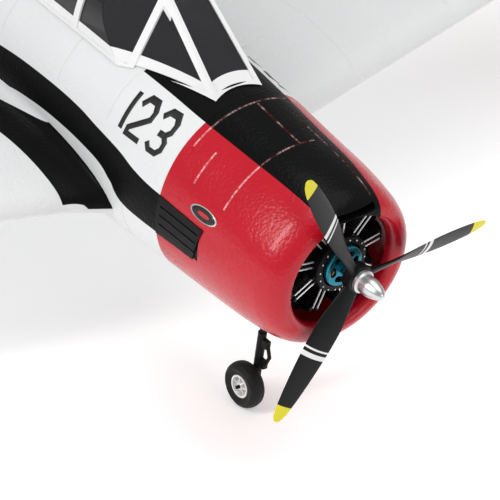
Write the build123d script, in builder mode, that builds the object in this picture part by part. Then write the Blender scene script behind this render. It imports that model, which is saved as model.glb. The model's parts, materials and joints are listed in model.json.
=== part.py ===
from build123d import *
import os
from math import atan, atan2, copysign, cos, degrees, pi, radians, sin, sqrt, tan

os.makedirs("parts", exist_ok=True)

# A foam radio-controlled model of a 1950s radial-engined trainer, span 1270 mm.
# Frame: +X towards the nose, +Y to port, +Z up. The wheels stand on Z = 0 and the
# origin is the middle of the model's footprint.
# "station" is a distance aft of the propeller hub, "height" is above the thrust line.

# Driving dimensions, mm
SPAN = 1270.0
LENGTH = 1046.0
THRUST_HEIGHT = 185.0
PROP_RADIUS = 133.35
NOSE_TIP = 31.0
HUB_X = LENGTH / 2 - NOSE_TIP
FOAM = 9.0
COWL_WALL = 4.5
GAP = 0.5
CANOPY_CLEAR = 0.8

# Fuselage: station, half width, top height, bottom height, squareness of the section
LIP_SECTIONS = [
    (13.5, 58.0, 47.0, -61.5, 2.0),
    (14.3, 61.5, 50.3, -65.0, 2.0),
    (16.5, 65.3, 54.2, -68.8, 2.0),
    (20.5, 68.8, 57.6, -72.3, 2.0),
    (26.0, 71.2, 60.3, -75.0, 2.0),
    (34, 73.5, 63.0, -77.4, 2.0),
]
COWL_SECTIONS = [
    (34, 73.5, 63.0, -77.4, 2.0),
    (62, 76.8, 68.8, -81.2, 2.0),
    (104, 78.0, 72.7, -83.3, 2.05),
    (150, 79.0, 77.5, -85.0, 2.1),
]
HULL_SECTIONS = [
    (150, 79.0, 77.5, -85.0, 2.1),
    (200, 80.0, 81.0, -87.5, 2.2),
    (270, 79.5, 83.0, -90.0, 2.3),
    (350, 77.5, 84.0, -91.0, 2.35),
    (430, 74.0, 84.0, -89.0, 2.35),
    (510, 68.0, 84.0, -84.0, 2.3),
    (600, 58.5, 82.0, -73.0, 2.25),
    (700, 47.0, 77.5, -57.0, 2.2),
    (800, 35.0, 71.5, -38.0, 2.15),
    (880, 23.0, 66.5, -21.0, 2.1),
    (949, 8.0, 62.0, -5.0, 2.05),
]

# Wing: the root rib is inside the fuselage side, the glove ends at GLOVE_Y
DIHEDRAL = 8.0
ROOT_Y = 77.0
ROOT_HEIGHT = -38.0
GLOVE_Y = 114.0
TIP_Y = 600.0
ROOT_LE = 216.0
ROOT_CHORD = 289.0
TIP_LE = 271.0
TIP_CHORD = 144.0
GLOVE_SWEEP = 16.0
WING_THICKNESS = 0.15
WING_CAMBER = 0.02
HINGE_CHORD = 0.75
FLAP_Y = (118.0, 318.0)
AILERON_Y = (321.0, 585.0)
SPAR_CHORD = 0.30
SPAR_RADIUS = 6.0
SPAR_INNER = 14.0
SPAR_OUTER = 420.0
SCREW_STATION = 302.0
SCREW_SIDE = 32.0

# Tail
TAIL_HEIGHT = 48.0
TAIL_ROOT = (850.0, 138.0)
TAIL_TIP = (876.0, 92.0)
TAIL_HALF_SPAN = 270.0
TAIL_HINGE = 935.0
TAIL_THICKNESS = 9.0
TAIL_TIP_ROUND = 22.0
FIN_TOP = 216.0
RUDDER_HINGE = 950.0
RUDDER_REAR = LENGTH - NOSE_TIP
FIN_HALF = 5.0

# Undercarriage
NOSE_STATION = 94.0
NOSE_PIVOT = -58.0
NOSE_WHEEL_RADIUS = 20.0
NOSE_WHEEL_Y = -11.5
NOSE_TYRE_WIDTH = 14.5
NOSE_HUB_RADIUS = 10.0
MAIN_STATION = 370.0
MAIN_PIVOT_Y = 238.0
MAIN_PIVOT = -22.0
MAIN_WHEEL_RADIUS = 25.0
MAIN_WHEEL_Y = MAIN_PIVOT_Y - 11.5
MAIN_TYRE_WIDTH = 16.0
MAIN_HUB_RADIUS = 13.0
MAIN_FOLD = 82.0

# Side view of the fin's leading edge, from the spine to the rudder hinge: station, height
FIN_OUTLINE = [(742, 70), (800, 84), (848, 104), (878, 150), (898, 196), (914, 211), (935, 215.5)]


def at(station):
    return HUB_X - station


def up(height):
    return THRUST_HEIGHT + height


def save(piece, name):
    piece.part.label = name
    export_step(piece.part, f"parts/{name}.step")


def both_sides(piece, name):
    """Write the port piece and its starboard mirror image."""
    save(piece, f"{name}_left")
    with BuildPart() as twin:
        mirror(piece.part, about=Plane.XZ)
    save(twin, f"{name}_right")


# ---------------------------------------------------------------- fuselage shape


def half_section(half_width, top, bottom, power, inset):
    """Port half of a rounded section, flat on the centre plane."""
    middle = (top + bottom) / 2
    rise = (top - bottom) / 2 - inset
    reach = half_width - inset
    points = [(0, up(middle - rise))]
    for step in range(1, 8):
        angle = radians(-90 + 22.5 * step)
        across = reach * cos(angle) ** (2 / power)
        lift = rise * copysign(abs(sin(angle)) ** (2 / power), sin(angle))
        points.append((across, up(middle + lift)))
    points.append((0, up(middle + rise)))
    Spline(*points, tangents=((1, 0), (-1, 0)), tangent_scalars=(1, 1))
    Line(points[-1], points[0])


def half_hull(sections, inset, first=0.0, last=0.0):
    """Solid port half of the hull through its sections, pulled in by inset."""
    with BuildPart() as half:
        for number, (station, half_width, top, bottom, power) in enumerate(sections):
            shift = first if number == 0 else 0.0
            shift = last if number == len(sections) - 1 else shift
            with BuildSketch(Plane.YZ.offset(at(station + shift))):
                with BuildLine():
                    half_section(half_width, top, bottom, power, inset)
                make_face()
        loft()
    return half.part


def whole_hull(sections, inset, first=0.0, last=0.0):
    half = half_hull(sections, inset, first, last)
    with BuildPart() as whole:
        add(half)
        mirror(half, about=Plane.XZ)
    return whole.part


def block(stations, sides, heights):
    """Box between two stations, two sides and two heights."""
    middle = ((at(stations[0]) + at(stations[1])) / 2, sum(sides) / 2, up(sum(heights) / 2))
    with BuildPart(Plane(origin=middle)) as box:
        Box(abs(stations[1] - stations[0]), abs(sides[1] - sides[0]), abs(heights[1] - heights[0]))
    return box.part


def rod(start, end, radius):
    """Round bar between two points."""
    axis = Vector(*end) - Vector(*start)
    with BuildPart() as bar:
        with BuildSketch(Plane(origin=start, z_dir=axis)):
            Circle(radius)
        extrude(amount=axis.length)
    return bar.part


# ---------------------------------------------------------------- wing shape


def chord_line(y):
    """Leading edge station, chord and height of the wing's chord line at side y."""
    share = (y - ROOT_Y) / (TIP_Y - ROOT_Y)
    lead = ROOT_LE + (TIP_LE - ROOT_LE) * share
    chord = ROOT_CHORD + (TIP_CHORD - ROOT_CHORD) * share
    height = ROOT_HEIGHT + tan(radians(DIHEDRAL)) * (y - ROOT_Y)
    return lead, chord, height


def skin(share, thickness, camber):
    """Upper and lower height of the aerofoil, as shares of the chord."""
    half = 5 * thickness * (
        0.2969 * sqrt(share) - 0.126 * share - 0.3516 * share**2 + 0.2843 * share**3 - 0.1015 * share**4
    )
    peak = 0.4
    if share < peak:
        mean = camber / peak**2 * (2 * peak * share - share**2)
    else:
        mean = camber / (1 - peak) ** 2 * (1 - 2 * peak + 2 * peak * share - share**2)
    return mean + half, mean - half


def aerofoil(lead, chord, height, y, thickness, camber, grow=0.0):
    """Aerofoil face on a plane across the span."""
    plane = Plane(origin=(at(lead - grow), y, up(height)), x_dir=(-1, 0, 0), z_dir=(0, 1, 0))
    length = chord + grow
    shares = [0.5 * (1 - cos(pi * step / 11)) for step in range(12)]
    upper = [(share * length, skin(share, thickness, camber)[0] * length) for share in shares]
    lower = [(share * length, skin(share, thickness, camber)[1] * length) for share in shares]
    with BuildSketch(plane) as face:
        with BuildLine():
            Spline(*reversed(upper), *lower[1:])
            Line(lower[-1], upper[-1])
        make_face()
    return face.sketch


def hinge_point(y, on_top=True):
    """Point of the control hinge line on the wing's upper or lower skin."""
    lead, chord, height = chord_line(y)
    upper, lower = skin(HINGE_CHORD, WING_THICKNESS, WING_CAMBER)
    level = upper if on_top else lower
    return Vector(at(lead + HINGE_CHORD * chord), y, up(height + level * chord))


def hinge_frame(y, on_top=True):
    """Plane across a hinge line at side y: local x aft, local y up, local z outboard."""
    axis = (hinge_point(TIP_Y, on_top) - hinge_point(ROOT_Y, on_top)).normalized()
    aft = Vector(-1, 0, 0)
    aft = (aft - axis * aft.dot(axis)).normalized()
    return Plane(origin=hinge_point(y, on_top), x_dir=aft, z_dir=axis)


def span_length(ends):
    return (hinge_point(ends[1]) - hinge_point(ends[0])).length


def wing_panel():
    """Whole port wing panel: glove, main taper and rounded tip."""
    lead, chord, height = chord_line(GLOVE_Y)
    inner = aerofoil(*chord_line(40.0), 40.0, WING_THICKNESS, WING_CAMBER, grow=GLOVE_SWEEP)
    glove = aerofoil(lead, chord, height, GLOVE_Y, WING_THICKNESS, WING_CAMBER)
    outer = aerofoil(*chord_line(TIP_Y), TIP_Y, WING_THICKNESS, WING_CAMBER)
    reach = SPAN / 2 - TIP_Y
    tip_faces = [outer]
    for angle in (30, 55, 74, 84):
        y = TIP_Y + reach * sin(radians(angle))
        lead, chord, height = chord_line(y)
        narrow = 0.45 + 0.55 * cos(radians(angle))
        thin = WING_THICKNESS * (0.12 + 0.88 * cos(radians(angle))) / narrow
        edge = lead + chord * (1 - narrow) * 0.62
        tip_faces.append(aerofoil(edge, chord * narrow, height, y, thin, WING_CAMBER))
    with BuildPart() as panel:
        loft([inner, glove])
        loft([glove, outer])
        for near, far in zip(tip_faces, tip_faces[1:]):
            loft([near, far])
    return panel.part


def trailing_region(ends, gap, bevel):
    """Prism behind the hinge line; bevel slopes its front face aft below the hinge."""
    with BuildPart() as region:
        with BuildSketch(hinge_frame(ends[0]).offset(gap)):
            with BuildLine():
                Polyline(
                    (gap, 30), (gap, 0), (gap + bevel, -30), (120, -30), (120, 30), close=True
                )
            make_face()
        extrude(amount=span_length(ends) - 2 * gap)
    return region.part


def spar(inner, outer, radius):
    """Round bar along the wing's spar line between two sides."""
    ends = []
    for y in (inner, outer):
        lead, chord, height = chord_line(y)
        mean = sum(skin(SPAR_CHORD, WING_THICKNESS, WING_CAMBER)) / 2
        ends.append((at(lead + SPAR_CHORD * chord), y, up(height + mean * chord)))
    return rod(ends[0], ends[1], radius)


# ---------------------------------------------------------------- shared solids

hull_outside = whole_hull(HULL_SECTIONS, 0.0)
hull_gap = whole_hull(HULL_SECTIONS, -CANOPY_CLEAR, -2.0, 2.0)
panel = wing_panel()
nose_well = block((84, 227), (-28, 28), (-110, -34))


# ---------------------------------------------------------------- fin and fuselage

with BuildPart() as fin:
    with BuildSketch(Plane.XZ):
        with BuildLine():
            fin_edge = [(at(station), up(height)) for station, height in FIN_OUTLINE]
            Spline(*fin_edge)
            Polyline(
                fin_edge[-1], (at(RUDDER_HINGE - 1), up(FIN_TOP)), (at(RUDDER_HINGE - 1), up(30)),
                (at(742), up(30)), fin_edge[0],
            )
        make_face()
    extrude(amount=FIN_HALF, both=True)
    with BuildSketch(Plane.XY.offset(up(0))):
        with BuildLine():
            Polyline(
                (at(735), 0.8), (at(860), FIN_HALF), (at(960), FIN_HALF), (at(960), -FIN_HALF),
                (at(860), -FIN_HALF), (at(735), -0.8), close=True,
            )
        make_face()
    extrude(amount=FIN_TOP + 20, mode=Mode.INTERSECT)

with BuildPart() as port_fin:
    add(fin.part)
    split(bisect_by=Plane.XZ, keep=Keep.BOTTOM)

canopy_opening = block((196, 520), (-36, 36), (20, 120))
tail_slot = block((TAIL_ROOT[0] - 0.2, 1030), (-60, 60), (TAIL_HEIGHT - 5.2, TAIL_HEIGHT + 5.2))
screw_access = rod(
    (at(SCREW_STATION), SCREW_SIDE, up(-110)), (at(SCREW_STATION), SCREW_SIDE, up(-60)), 4.5
)

with BuildPart() as fuselage:
    add(half_hull(HULL_SECTIONS, 0.0))
    add(half_hull(HULL_SECTIONS[:-1], FOAM, -5.0, 0.0), mode=Mode.SUBTRACT)
    add(port_fin.part)
    add(canopy_opening, mode=Mode.SUBTRACT)
    add(nose_well, mode=Mode.SUBTRACT)
    add(tail_slot, mode=Mode.SUBTRACT)
    add(screw_access, mode=Mode.SUBTRACT)
    add(spar(SPAR_INNER - 4, SPAR_OUTER, SPAR_RADIUS + 0.2), mode=Mode.SUBTRACT)

# ---------------------------------------------------------------- cowl and exhausts

LIP_INNER = 6.5
OPENING_RADIUS = 50.0
OPENING_HEIGHT = -5.7

cowl_outside = whole_hull(COWL_SECTIONS, 0.0)

with BuildPart() as cowl:
    add(cowl_outside)
    for pair in zip(LIP_SECTIONS, LIP_SECTIONS[1:]):
        add(whole_hull(pair, 0.0))
    with BuildSketch(Plane.YZ.offset(at(10))):
        with Locations((0, up(OPENING_HEIGHT))):
            Circle(OPENING_RADIUS)
    extrude(amount=-40, mode=Mode.SUBTRACT)
    opening_edge = cowl.edges().filter_by(GeomType.CIRCLE).sort_by(Axis.X)[-1]
    fillet(opening_edge, radius=LIP_INNER)
    add(whole_hull(COWL_SECTIONS, COWL_WALL, -8.0, 1.0), mode=Mode.SUBTRACT)
    add(block((10, 44), (-23, 23), (46.5, 52.5)), mode=Mode.SUBTRACT)
    add(nose_well, mode=Mode.SUBTRACT)
save(cowl, "cowl")

EXHAUST_PROUD = 1.2
exhaust_outside = whole_hull(COWL_SECTIONS, -EXHAUST_PROUD)

with BuildPart() as exhaust_panels:
    with BuildSketch(Plane.XZ):
        with BuildLine():
            Polyline(
                (at(97), up(10)), (at(149.5), up(12)), (at(149.5), up(-24)), (at(104), up(-21)), close=True
            )
        make_face()
    extrude(amount=90, both=True)
    add(exhaust_outside, mode=Mode.INTERSECT)
    add(cowl_outside, mode=Mode.SUBTRACT)
    for height in (-12.5, -4.0, 4.0):
        add(block((101, 146), (-90, 90), (height - 0.7, height + 0.7)), mode=Mode.SUBTRACT)
save(exhaust_panels, "exhaust_panels")

# ---------------------------------------------------------------- engine bay

CYLINDERS = 9
CYLINDER_STEP = 360 / CYLINDERS
ENGINE_STATION = 34.5


def radial_frame(angle, station=ENGINE_STATION):
    """Plane at the engine's axis whose normal points outward at this angle from port."""
    outward = Vector(0, cos(radians(angle)), sin(radians(angle)))
    return Plane(origin=(at(station), 0, up(0)), x_dir=(1, 0, 0), z_dir=outward)


with BuildPart() as dummy_engine:
    for number in range(CYLINDERS):
        frame = radial_frame(90 + number * CYLINDER_STEP)
        with BuildSketch(frame.offset(22)):
            Circle(5.6)
        extrude(amount=24.5)
        for fin_number in range(6):
            with BuildSketch(frame.offset(26 + 3.2 * fin_number)):
                Circle(8.0)
            extrude(amount=1.4)
        with BuildSketch(frame.offset(45)):
            RectangleRounded(15, 12, 3)
        extrude(amount=3.5)
    with BuildSketch(Plane.YZ.offset(at(46))):
        with Locations((0, up(0))):
            Circle(55)
            Circle(19.5, mode=Mode.SUBTRACT)
    extrude(amount=4.2)
save(dummy_engine, "dummy_engine")

with BuildPart() as crankcase_ring:
    with BuildSketch(Plane.YZ.offset(at(37))):
        with Locations((0, up(0))):
            Circle(25)
            Circle(19.5, mode=Mode.SUBTRACT)
    extrude(amount=19)
    rim = crankcase_ring.edges().filter_by(GeomType.CIRCLE).group_by(Axis.X)[-1]
    fillet(rim.sort_by(SortBy.LENGTH)[-1], radius=2.5)
    for number in range(CYLINDERS):
        with BuildSketch(radial_frame(90 + number * CYLINDER_STEP).offset(18)):
            Circle(5.7)
        extrude(amount=12, mode=Mode.SUBTRACT)
save(crankcase_ring, "crankcase_ring")

with BuildPart() as pushrod_tubes:
    for number in range(CYLINDERS):
        for side in (-2.6, 2.6):
            with BuildSketch(radial_frame(90 + number * CYLINDER_STEP, 25.3).offset(25.2)):
                with Locations((0, side)):
                    Circle(0.75)
            extrude(amount=18.4)
save(pushrod_tubes, "pushrod_tubes")

MOTOR_BACK = 58.0
with BuildPart() as motor_mount:
    add(block((MOTOR_BACK, MOTOR_BACK + 4), (-27, 27), (-36, 24)))
    add(block((MOTOR_BACK + 4, 147), (-24, 24), (-36, 22)))
    add(block((MOTOR_BACK + 4, 151), (-20.5, 20.5), (-32.5, 18.5)), mode=Mode.SUBTRACT)
    with BuildSketch(Plane.YZ.offset(at(146.5))):
        with Locations((0, up(-3))):
            Circle(72)
            Rectangle(41, 51, mode=Mode.SUBTRACT)
    extrude(amount=-3.5)
    add(block((140, 155), (-28.5, 28.5), (-80, -36)), mode=Mode.SUBTRACT)
    with BuildSketch(Plane.YZ.offset(at(MOTOR_BACK))):
        with Locations((0, up(0))):
            Circle(5)
    extrude(amount=-5, mode=Mode.SUBTRACT)
    with BuildSketch(Plane.YZ.offset(at(MOTOR_BACK))):
        with Locations((0, up(0))):
            with PolarLocations(12.5, 4, start_angle=45):
                Circle(1.6)
    extrude(amount=-5, mode=Mode.SUBTRACT)
save(motor_mount, "motor_mount")

SHAFT_RADIUS = 2.5
with BuildPart() as motor_stator:
    with BuildSketch(Plane.YZ.offset(at(MOTOR_BACK))):
        with Locations((0, up(0))):
            Circle(16)
            Circle(SHAFT_RADIUS + 0.05, mode=Mode.SUBTRACT)
            with PolarLocations(12.5, 4, start_angle=45):
                Circle(1.5, mode=Mode.SUBTRACT)
    extrude(amount=8)
    with BuildSketch(Plane.YZ.offset(at(MOTOR_BACK - 8))):
        with Locations((0, up(0))):
            Circle(7)
            Circle(SHAFT_RADIUS + 0.05, mode=Mode.SUBTRACT)
    extrude(amount=27)
    with BuildSketch(Plane.YZ.offset(at(44))):
        with Locations((0, up(0))):
            Circle(15.5)
            Circle(13.8, mode=Mode.SUBTRACT)
            with PolarLocations(10, CYLINDERS):
                Rectangle(9, 1.8)
            Circle(SHAFT_RADIUS + 0.05, mode=Mode.SUBTRACT)
    extrude(amount=22)
save(motor_stator, "motor_stator")

with BuildPart() as motor_windings:
    for number in range(CYLINDERS):
        middle = radial_frame(number * CYLINDER_STEP, 33.0)
        with BuildSketch(middle.offset(7.9)):
            RectangleRounded(25, 4.6, 2.2)
            Rectangle(22.2, 1.9, mode=Mode.SUBTRACT)
        extrude(amount=5.2)
save(motor_windings, "motor_windings")

BELL_RADIUS = 18.0
with BuildPart() as motor_bell:
    with BuildSketch(Plane.YZ.offset(at(45))):
        with Locations((0, up(0))):
            Circle(BELL_RADIUS)
            Circle(BELL_RADIUS - 1.8, mode=Mode.SUBTRACT)
    extrude(amount=27.5)
    with BuildSketch(Plane.YZ.offset(at(17.5))):
        with Locations((0, up(0))):
            Circle(BELL_RADIUS)
    extrude(amount=2.5)
    front_rim = motor_bell.edges().filter_by(GeomType.CIRCLE).sort_by(Axis.X)[-1]
    fillet(front_rim, radius=1.6)
    with BuildSketch(Plane.YZ.offset(at(19))):
        with Locations((0, up(0))):
            with PolarLocations(11.2, 6, start_angle=10):
                SlotOverall(9.5, 5.6, rotation=90)
    extrude(amount=5, mode=Mode.SUBTRACT)
    with BuildSketch(Plane.YZ.offset(at(20))):
        with Locations((0, up(0))):
            Circle(6)
    extrude(amount=14)
    with BuildSketch(Plane.YZ.offset(at(25))):
        with Locations((0, up(0))):
            Circle(SHAFT_RADIUS)
    extrude(amount=25, mode=Mode.SUBTRACT)
save(motor_bell, "motor_bell")

with BuildPart() as prop_shaft:
    with BuildSketch(Plane.YZ.offset(at(MOTOR_BACK + 1))):
        with Locations((0, up(0))):
            Circle(SHAFT_RADIUS)
    extrude(amount=MOTOR_BACK + 14)
save(prop_shaft, "prop_shaft")

# ---------------------------------------------------------------- propeller

BLADES = 3
BLADE_REST = 1.4
PITCH = 203.0
BLADE_STATIONS = [(9, 12.0, 6.5), (26, 15.5, 5.0), (48, 20.5, 3.6), (74, 21.5, 2.7), (102, 18.5, 2.1),
                  (122, 13.5, 1.6), (130, 9.0, 1.3), (PROP_RADIUS, 3.5, 1.0)]


def blade_section(radius, chord, thickness, rest):
    """Twisted lens section of a blade at this radius."""
    outward = Vector(0, cos(radians(rest)), sin(radians(rest)))
    ahead = Vector(0, -sin(radians(rest)), cos(radians(rest)))
    pitch = min(atan(PITCH / (2 * pi * radius)), radians(42))
    lead = ahead * cos(pitch) + Vector(sin(pitch), 0, 0)
    origin = Vector(at(0), 0, up(0)) + outward * radius
    with BuildSketch(Plane(origin=origin, x_dir=lead, z_dir=outward)) as face:
        with BuildLine():
            half = chord / 2
            Spline((half, 0), (half * 0.55, thickness * 0.42), (-half * 0.3, thickness * 0.42), (-half, 0))
            Spline((-half, 0), (-half * 0.3, -thickness * 0.42), (half * 0.55, -thickness * 0.42), (half, 0))
        make_face()
    return face.sketch


with BuildPart() as propeller:
    for number in range(BLADES):
        rest = BLADE_REST + number * 360 / BLADES
        loft([blade_section(radius, chord, thickness, rest) for radius, chord, thickness in BLADE_STATIONS])
    with BuildSketch(Plane.YZ.offset(at(5.5))):
        with Locations((0, up(0))):
            Circle(12)
    extrude(amount=11)
    with BuildSketch(Plane.YZ.offset(at(6))):
        with Locations((0, up(0))):
            Circle(SHAFT_RADIUS)
    extrude(amount=12, mode=Mode.SUBTRACT)
save(propeller, "propeller")

with BuildPart() as spinner_nut:
    with BuildSketch(Plane.XZ):
        with BuildLine():
            Line((at(-5.5), up(SHAFT_RADIUS)), (at(-5.5), up(9.75)))
            Line((at(-5.5), up(9.75)), (at(-8), up(9.75)))
            Line((at(-8), up(9.75)), (at(-9), up(8.0)))
            Line((at(-9), up(8.0)), (at(-15), up(8.0)))
            Spline(
                (at(-15), up(8.0)), (at(-22), up(6.7)), (at(-28), up(4.2)), (at(-NOSE_TIP), up(0)),
                tangents=((1, 0), (0, -1)), tangent_scalars=(1, 1),
            )
            Line((at(-NOSE_TIP), up(0)), (at(-14), up(0)))
            Line((at(-14), up(0)), (at(-14), up(SHAFT_RADIUS)))
            Line((at(-14), up(SHAFT_RADIUS)), (at(-5.5), up(SHAFT_RADIUS)))
        make_face()
    revolve(axis=Axis((at(0), 0, up(0)), (1, 0, 0)), revolution_arc=360)
save(spinner_nut, "spinner_nut")

# ---------------------------------------------------------------- electronics

with BuildPart() as battery_tray:
    add(block((157, 345), (-32, 32), (-24, -21.5)))
save(battery_tray, "battery_tray")

with BuildPart() as battery:
    add(block((168, 274), (-17, 17), (-21.5, 5)))
    fillet(battery.edges().filter_by(Axis.X), radius=4)
    add(block((274, 282), (-9, 9), (-12, -4)))
save(battery, "battery")

with BuildPart() as battery_strap:
    add(block((212, 228), (-18.2, 18.2), (-21.5, 6.2)))
    add(battery.part, mode=Mode.SUBTRACT)
save(battery_strap, "battery_strap")

with BuildPart() as speed_controller:
    add(block((82, 136), (-14, 14), (-32.5, -22)))
    fillet(speed_controller.edges().filter_by(Axis.X).group_by(Axis.Z)[-1], radius=2)
save(speed_controller, "speed_controller")

with BuildPart() as receiver:
    add(block((292, 336), (-13, 13), (-21.5, -8)))
    fillet(receiver.edges().filter_by(Axis.Z), radius=2)
save(receiver, "receiver")

# ---------------------------------------------------------------- wing

FLAP_SERVO_Y = 290.0
AILERON_SERVO_Y = 450.0
SERVO_BODY = (23.0, 21.0, 12.0)
SERVO_REACH = 3.0
ARM_THICKNESS = 2.0
ARM_SHIFT = 1.2 - ARM_THICKNESS
ARM_WIDTH = 5.0
HORN_WIDTH = 6.0
ROD_RADIUS = 1.0
PIN_RADIUS = 1.0


def servo_solid(frame, pivot):
    """Servo case lying beside its arm, with two lugs; local frame across the hinge."""
    length, width, depth = SERVO_BODY
    middle = (pivot[0] - 5.5, pivot[1])
    with BuildPart() as case:
        with BuildSketch(frame.offset(SERVO_REACH)):
            with Locations(middle):
                Rectangle(length, depth)
        extrude(amount=width)
        with BuildSketch(frame.offset(SERVO_REACH + 3)):
            with Locations(middle):
                Rectangle(length + 9, depth)
        extrude(amount=2)
        with BuildSketch(frame.offset(SERVO_REACH)):
            with Locations(pivot):
                Circle(4.5)
        extrude(amount=-1.5)
    return case.part


def flat_arm(frame, near, far, width, shift):
    """Flat arm between two points of a hinge plane, with a pin hole at its far end."""
    middle = ((near[0] + far[0]) / 2, (near[1] + far[1]) / 2)
    run = Vector(far[0] - near[0], far[1] - near[1], 0)
    turn = degrees(atan2(run.Y, run.X))
    with BuildPart() as arm:
        with BuildSketch(frame.offset(shift)):
            with Locations(Location((middle[0], middle[1], 0), (0, 0, turn))):
                SlotCenterToCenter(run.length, width)
            with Locations(far):
                Circle(PIN_RADIUS + 0.05, mode=Mode.SUBTRACT)
        extrude(amount=ARM_THICKNESS)
    return arm.part


def link_rod(frame, near, far, shift):
    """Straight rod beside two arms, with a pin through the hole of each."""
    plane = frame.offset(shift + ARM_THICKNESS + 0.4 + ROD_RADIUS)
    run = Vector(far[0] - near[0], far[1] - near[1], 0).normalized() * 1.2
    start = plane.from_local_coords(Vector(near[0], near[1], 0) + run)
    end = plane.from_local_coords(Vector(far[0], far[1], 0) - run)
    with BuildPart() as link:
        add(rod(start, end, ROD_RADIUS))
        for spot in (near, far):
            with BuildSketch(frame.offset(shift - 0.6)):
                with Locations(spot):
                    Circle(PIN_RADIUS)
            extrude(amount=ARM_THICKNESS + 2.0 + ROD_RADIUS)
            with BuildSketch(frame.offset(shift + ARM_THICKNESS + 0.2)):
                with Locations(spot):
                    Circle(2.1)
            extrude(amount=2 * ROD_RADIUS + 0.4)
    return link.part


# Linkages as hinge-plane points (aft, up): horn hole, then the parallel servo arm
FLAP_HORN = (4.0, -12.5)
FLAP_PIVOT = (-44.0, 3.0)
AILERON_HORN = (5.0, -22.5)
AILERON_PIVOT = (-40.0, -7.0)

FLAP_ROOT = (9.0, 2.0)
AILERON_ROOT = (13.0, -8.0)
AILERON_BEVEL = 30.0

flap_plane = hinge_frame(FLAP_SERVO_Y, False)
aileron_plane = hinge_frame(AILERON_SERVO_Y, True)
LINKS = [
    ("flap", flap_plane, FLAP_HORN, FLAP_PIVOT, FLAP_ROOT, FLAP_Y, 0.0),
    ("aileron", aileron_plane, AILERON_HORN, AILERON_PIVOT, AILERON_ROOT, AILERON_Y, AILERON_BEVEL),
]

fold = radians(MAIN_FOLD)
wheel_arm = (MAIN_WHEEL_Y - MAIN_PIVOT_Y, MAIN_WHEEL_RADIUS - THRUST_HEIGHT - MAIN_PIVOT)
folded_y = MAIN_PIVOT_Y + wheel_arm[0] * cos(fold) + wheel_arm[1] * sin(fold)
well_floor = (at(MAIN_STATION), folded_y, up(-100))
well_roof = (at(MAIN_STATION), folded_y, up(-16))

with BuildPart() as wheel_well:
    add(rod(well_floor, well_roof, MAIN_WHEEL_RADIUS + 3.5))
    add(block((MAIN_STATION - 8, MAIN_STATION + 8), (folded_y, 232), (-100, -15)))
    add(block((MAIN_STATION - 18, MAIN_STATION + 18), (228, 268), (-100, -9)))

wing_servo_cases = [servo_solid(plane, pivot) for name, plane, horn, pivot, *rest in LINKS]

with BuildPart() as wing:
    add(panel)
    add(hull_outside, mode=Mode.SUBTRACT)
    add(wheel_well.part, mode=Mode.SUBTRACT)
    add(spar(SPAR_INNER - 4, SPAR_OUTER, SPAR_RADIUS), mode=Mode.SUBTRACT)
    for case in wing_servo_cases:
        add(case, mode=Mode.SUBTRACT)
    for name, plane, horn, pivot, root, ends, bevel in LINKS:
        add(trailing_region(ends, -GAP / 2, 0.0), mode=Mode.SUBTRACT)
        with BuildSketch(plane.offset(-1.6)):
            with Locations((pivot[0] - 2, pivot[1] - 12)):
                Rectangle(34, 34)
        extrude(amount=4.4, mode=Mode.SUBTRACT)
both_sides(wing, "wing")

with BuildPart() as wing_spars:
    add(spar(SPAR_INNER, SPAR_OUTER, SPAR_RADIUS))
    add(spar(SPAR_INNER, SPAR_OUTER, SPAR_RADIUS - 1.0), mode=Mode.SUBTRACT)
    mirror(about=Plane.XZ)
save(wing_spars, "wing_spars")

screw_top = (at(SCREW_STATION), SCREW_SIDE, up(-46.5))
screw_seat = (at(SCREW_STATION), SCREW_SIDE, up(-56))
screw_foot = (at(SCREW_STATION), SCREW_SIDE, up(-59))
screw_shank = rod(screw_seat, screw_top, 1.5)
joiner_spar = spar(SPAR_INNER - 2, 80.0, SPAR_RADIUS)

with BuildPart() as spar_joiner:
    add(block((289, 315), (-52, 52), (-56, -24.2)))
    add(joiner_spar, mode=Mode.SUBTRACT)
    mirror(joiner_spar, about=Plane.XZ, mode=Mode.SUBTRACT)
    add(screw_shank, mode=Mode.SUBTRACT)
    mirror(screw_shank, about=Plane.XZ, mode=Mode.SUBTRACT)
save(spar_joiner, "spar_joiner")

with BuildPart() as wing_screws:
    add(screw_shank)
    add(rod(screw_foot, screw_seat, 3.0))
    mirror(about=Plane.XZ)
save(wing_screws, "wing_screws")

for name, plane, horn, pivot, root, ends, bevel in LINKS:
    tip = (pivot[0] + horn[0], pivot[1] + horn[1])
    with BuildPart() as servo_arm:
        add(flat_arm(plane, pivot, tip, ARM_WIDTH, ARM_SHIFT))
    both_sides(servo_arm, f"{name}_servo_arm")
    with BuildPart() as link:
        add(link_rod(plane, horn, tip, ARM_SHIFT))
    both_sides(link, f"{name}_pushrod")
    with BuildPart() as surface:
        add(panel)
        add(trailing_region(ends, GAP / 2, bevel), mode=Mode.INTERSECT)
        add(flat_arm(plane, root, horn, HORN_WIDTH, ARM_SHIFT))
    both_sides(surface, name)

# ---------------------------------------------------------------- tail

ELEVATOR_INNER = 13.0
RUDDER_SWING = 34.0


def tail_face(y, angle):
    """Tailplane section at side y, shrunk by how far the tip's edge has turned."""
    share = y / TAIL_HALF_SPAN
    lead = TAIL_ROOT[0] + (TAIL_TIP[0] - TAIL_ROOT[0]) * share
    chord = TAIL_ROOT[1] + (TAIL_TIP[1] - TAIL_ROOT[1]) * share
    narrow = 0.5 + 0.5 * cos(radians(angle))
    thin = TAIL_THICKNESS / TAIL_ROOT[1] * (0.2 + 0.8 * cos(radians(angle))) / narrow
    return aerofoil(lead + chord * (1 - narrow) * 0.6, chord * narrow, TAIL_HEIGHT, y, thin, 0)


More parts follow.
